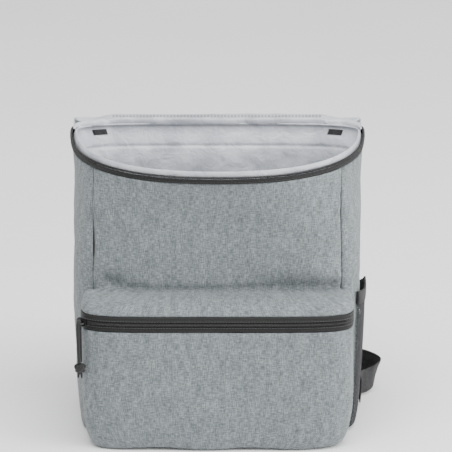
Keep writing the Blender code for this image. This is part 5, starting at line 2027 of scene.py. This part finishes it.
def side_seat(side, turn, stand, height):
    if side > 0:
        part = (turn + MESH_FRONT_TURN) / (MESH_FRONT_TURN + MESH_REAR_TURN)
        stand += MESH_WALL + float(mesh_stand(part, SEAT_ROW))
    return turn_place(side, turn, height / BODY_HEIGHT, 0.0, stand)


def make_webbing(side, name, table, turns, path):
    way = Vector(path[-1, :3] - path[-2, :3]).normalized()
    seat = Vector(path[-1, :3]) + way * (BUCKLE_HEIGHT / 2 + GAP)
    frame_place = frame_at(seat, way, TO_BACK)
    stand = BUCKLE_THICKNESS / 2 + WEBBING_THICKNESS / 2 + GAP
    bar = (BUCKLE_HEIGHT - BUCKLE_BAR) / 2
    level = frame_place.to_3x3() @ Vector((0, 1, 0))
    level *= math.copysign(1, level.x)
    rows = []
    for foot, forward in FRAME_TURN:
        rows.append((*(frame_place @ Vector((bar + foot * BUCKLE_BAR, 0, forward * stand))), *level))
    for across, behind, height, turned in table:
        angle = turned * math.pi / 2
        rows.append((side * HALF_WIDTH * across, BACK_Y + behind * WEBBING_WIDTH, height * WEBBING_WIDTH,
                     math.cos(angle), 0, side * math.sin(angle)))
    for turn in turns:
        low, high = (side_seat(side, turn, WEBBING_THICKNESS / 2 + WEBBING_SEAT, height * WEBBING_WIDTH)
                     for height in (SEAT_HEIGHT - 0.5, SEAT_HEIGHT + 0.5))
        upright = (high - low) / np.linalg.norm(high - low)
        rows.append((*((low + high) / 2), *(upright * side)))
    fine = smooth_rows(rows, each=WEBBING_STEPS)

    def ribs(across, along):
        return WEBBING_RIB_DEPTH * np.cos(across * math.pi * WEBBING_RIBS) - WEBBING_RIB_DEPTH + 0 * along

    joined(f"webbing_{name}", [band(fine, WEBBING_WIDTH, WEBBING_THICKNESS, 30, 7.0, ribs)], WEBBING,
           [f"lower_webbing_{name}"])
    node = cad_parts[f"ladder_lock_{name}"]
    node.data.materials.clear()
    node.data.materials.append(ACETAL)


for side, name, table, turns in ((-1, "left", LEFT_WEBBING, LEFT_SEAT_TURNS),
                                 (1, "right", RIGHT_WEBBING, RIGHT_SEAT_TURNS)):
    make_webbing(side, name, table, turns, make_strap(side, name))

# %% [markdown]
# ## The studio
# A plain pale floor and soft light from above and from both front sides: the picture has no hard shadow. The
# hood faces up and is the lightest cloth, so the strongest light is the one overhead.

# %% Light the bag
FLOOR_SIZE = 14.0
FLOOR_DROP = 0.0002
BAG_MIDDLE = Vector((0, 0, 0.14))
SOFTBOXES = (
    # name, place, size, watts
    ("overhead", (0.1, -0.6, 2.2), (2.0, 1.6), 66),
    ("front_left", (-1.7, -2.0, 1.1), (1.4, 1.6), 9),
    ("right", (2.1, -0.7, 0.9), (1.2, 1.6), 58),
)
SURROUNDING = 0.9


def make_floor():
    corners = ((-1, -1), (1, -1), (1, 1), (-1, 1))
    points = [(x * FLOOR_SIZE, y * FLOOR_SIZE, -FLOOR_DROP) for x, y in corners]
    mesh = mesh_of("floor", points, [(0, 1, 2, 3)], smooth=False)
    finish, tree, shader = new_material("painted_studio_floor", 0.9)
    place = add(tree, "ShaderNodeTexCoord")
    noise = add(tree, "ShaderNodeTexNoise", values={"Scale": 3.0}, links={"Vector": (place, "Object")})
    colour_and_bump(tree, shader, (noise, "Fac"), ((0.3, "F4F4F4"), (0.7, "F8F8F8")))
    mesh.materials.append(finish)
    floor = bpy.data.objects.new("floor", mesh)
    bpy.context.scene.collection.objects.link(floor)


def softbox(name, place, size, watts):
    data = bpy.data.lights.new(name, "AREA")
    data.shape = "RECTANGLE"
    data.size, data.size_y = size
    data.energy = watts
    box = bpy.data.objects.new(name, data)
    box.location = place
    box.rotation_euler = (Vector(place) - BAG_MIDDLE).to_track_quat("Z", "Y").to_euler()
    bpy.context.scene.collection.objects.link(box)


make_floor()
for light in SOFTBOXES:
    softbox(*light)
world = bpy.data.worlds.new("studio")
bpy.context.scene.world = world
world.use_nodes = True
world.node_tree.nodes["Background"].inputs["Color"].default_value = (1.0, 1.0, 1.0, 1.0)
world.node_tree.nodes["Background"].inputs["Strength"].default_value = SURROUNDING
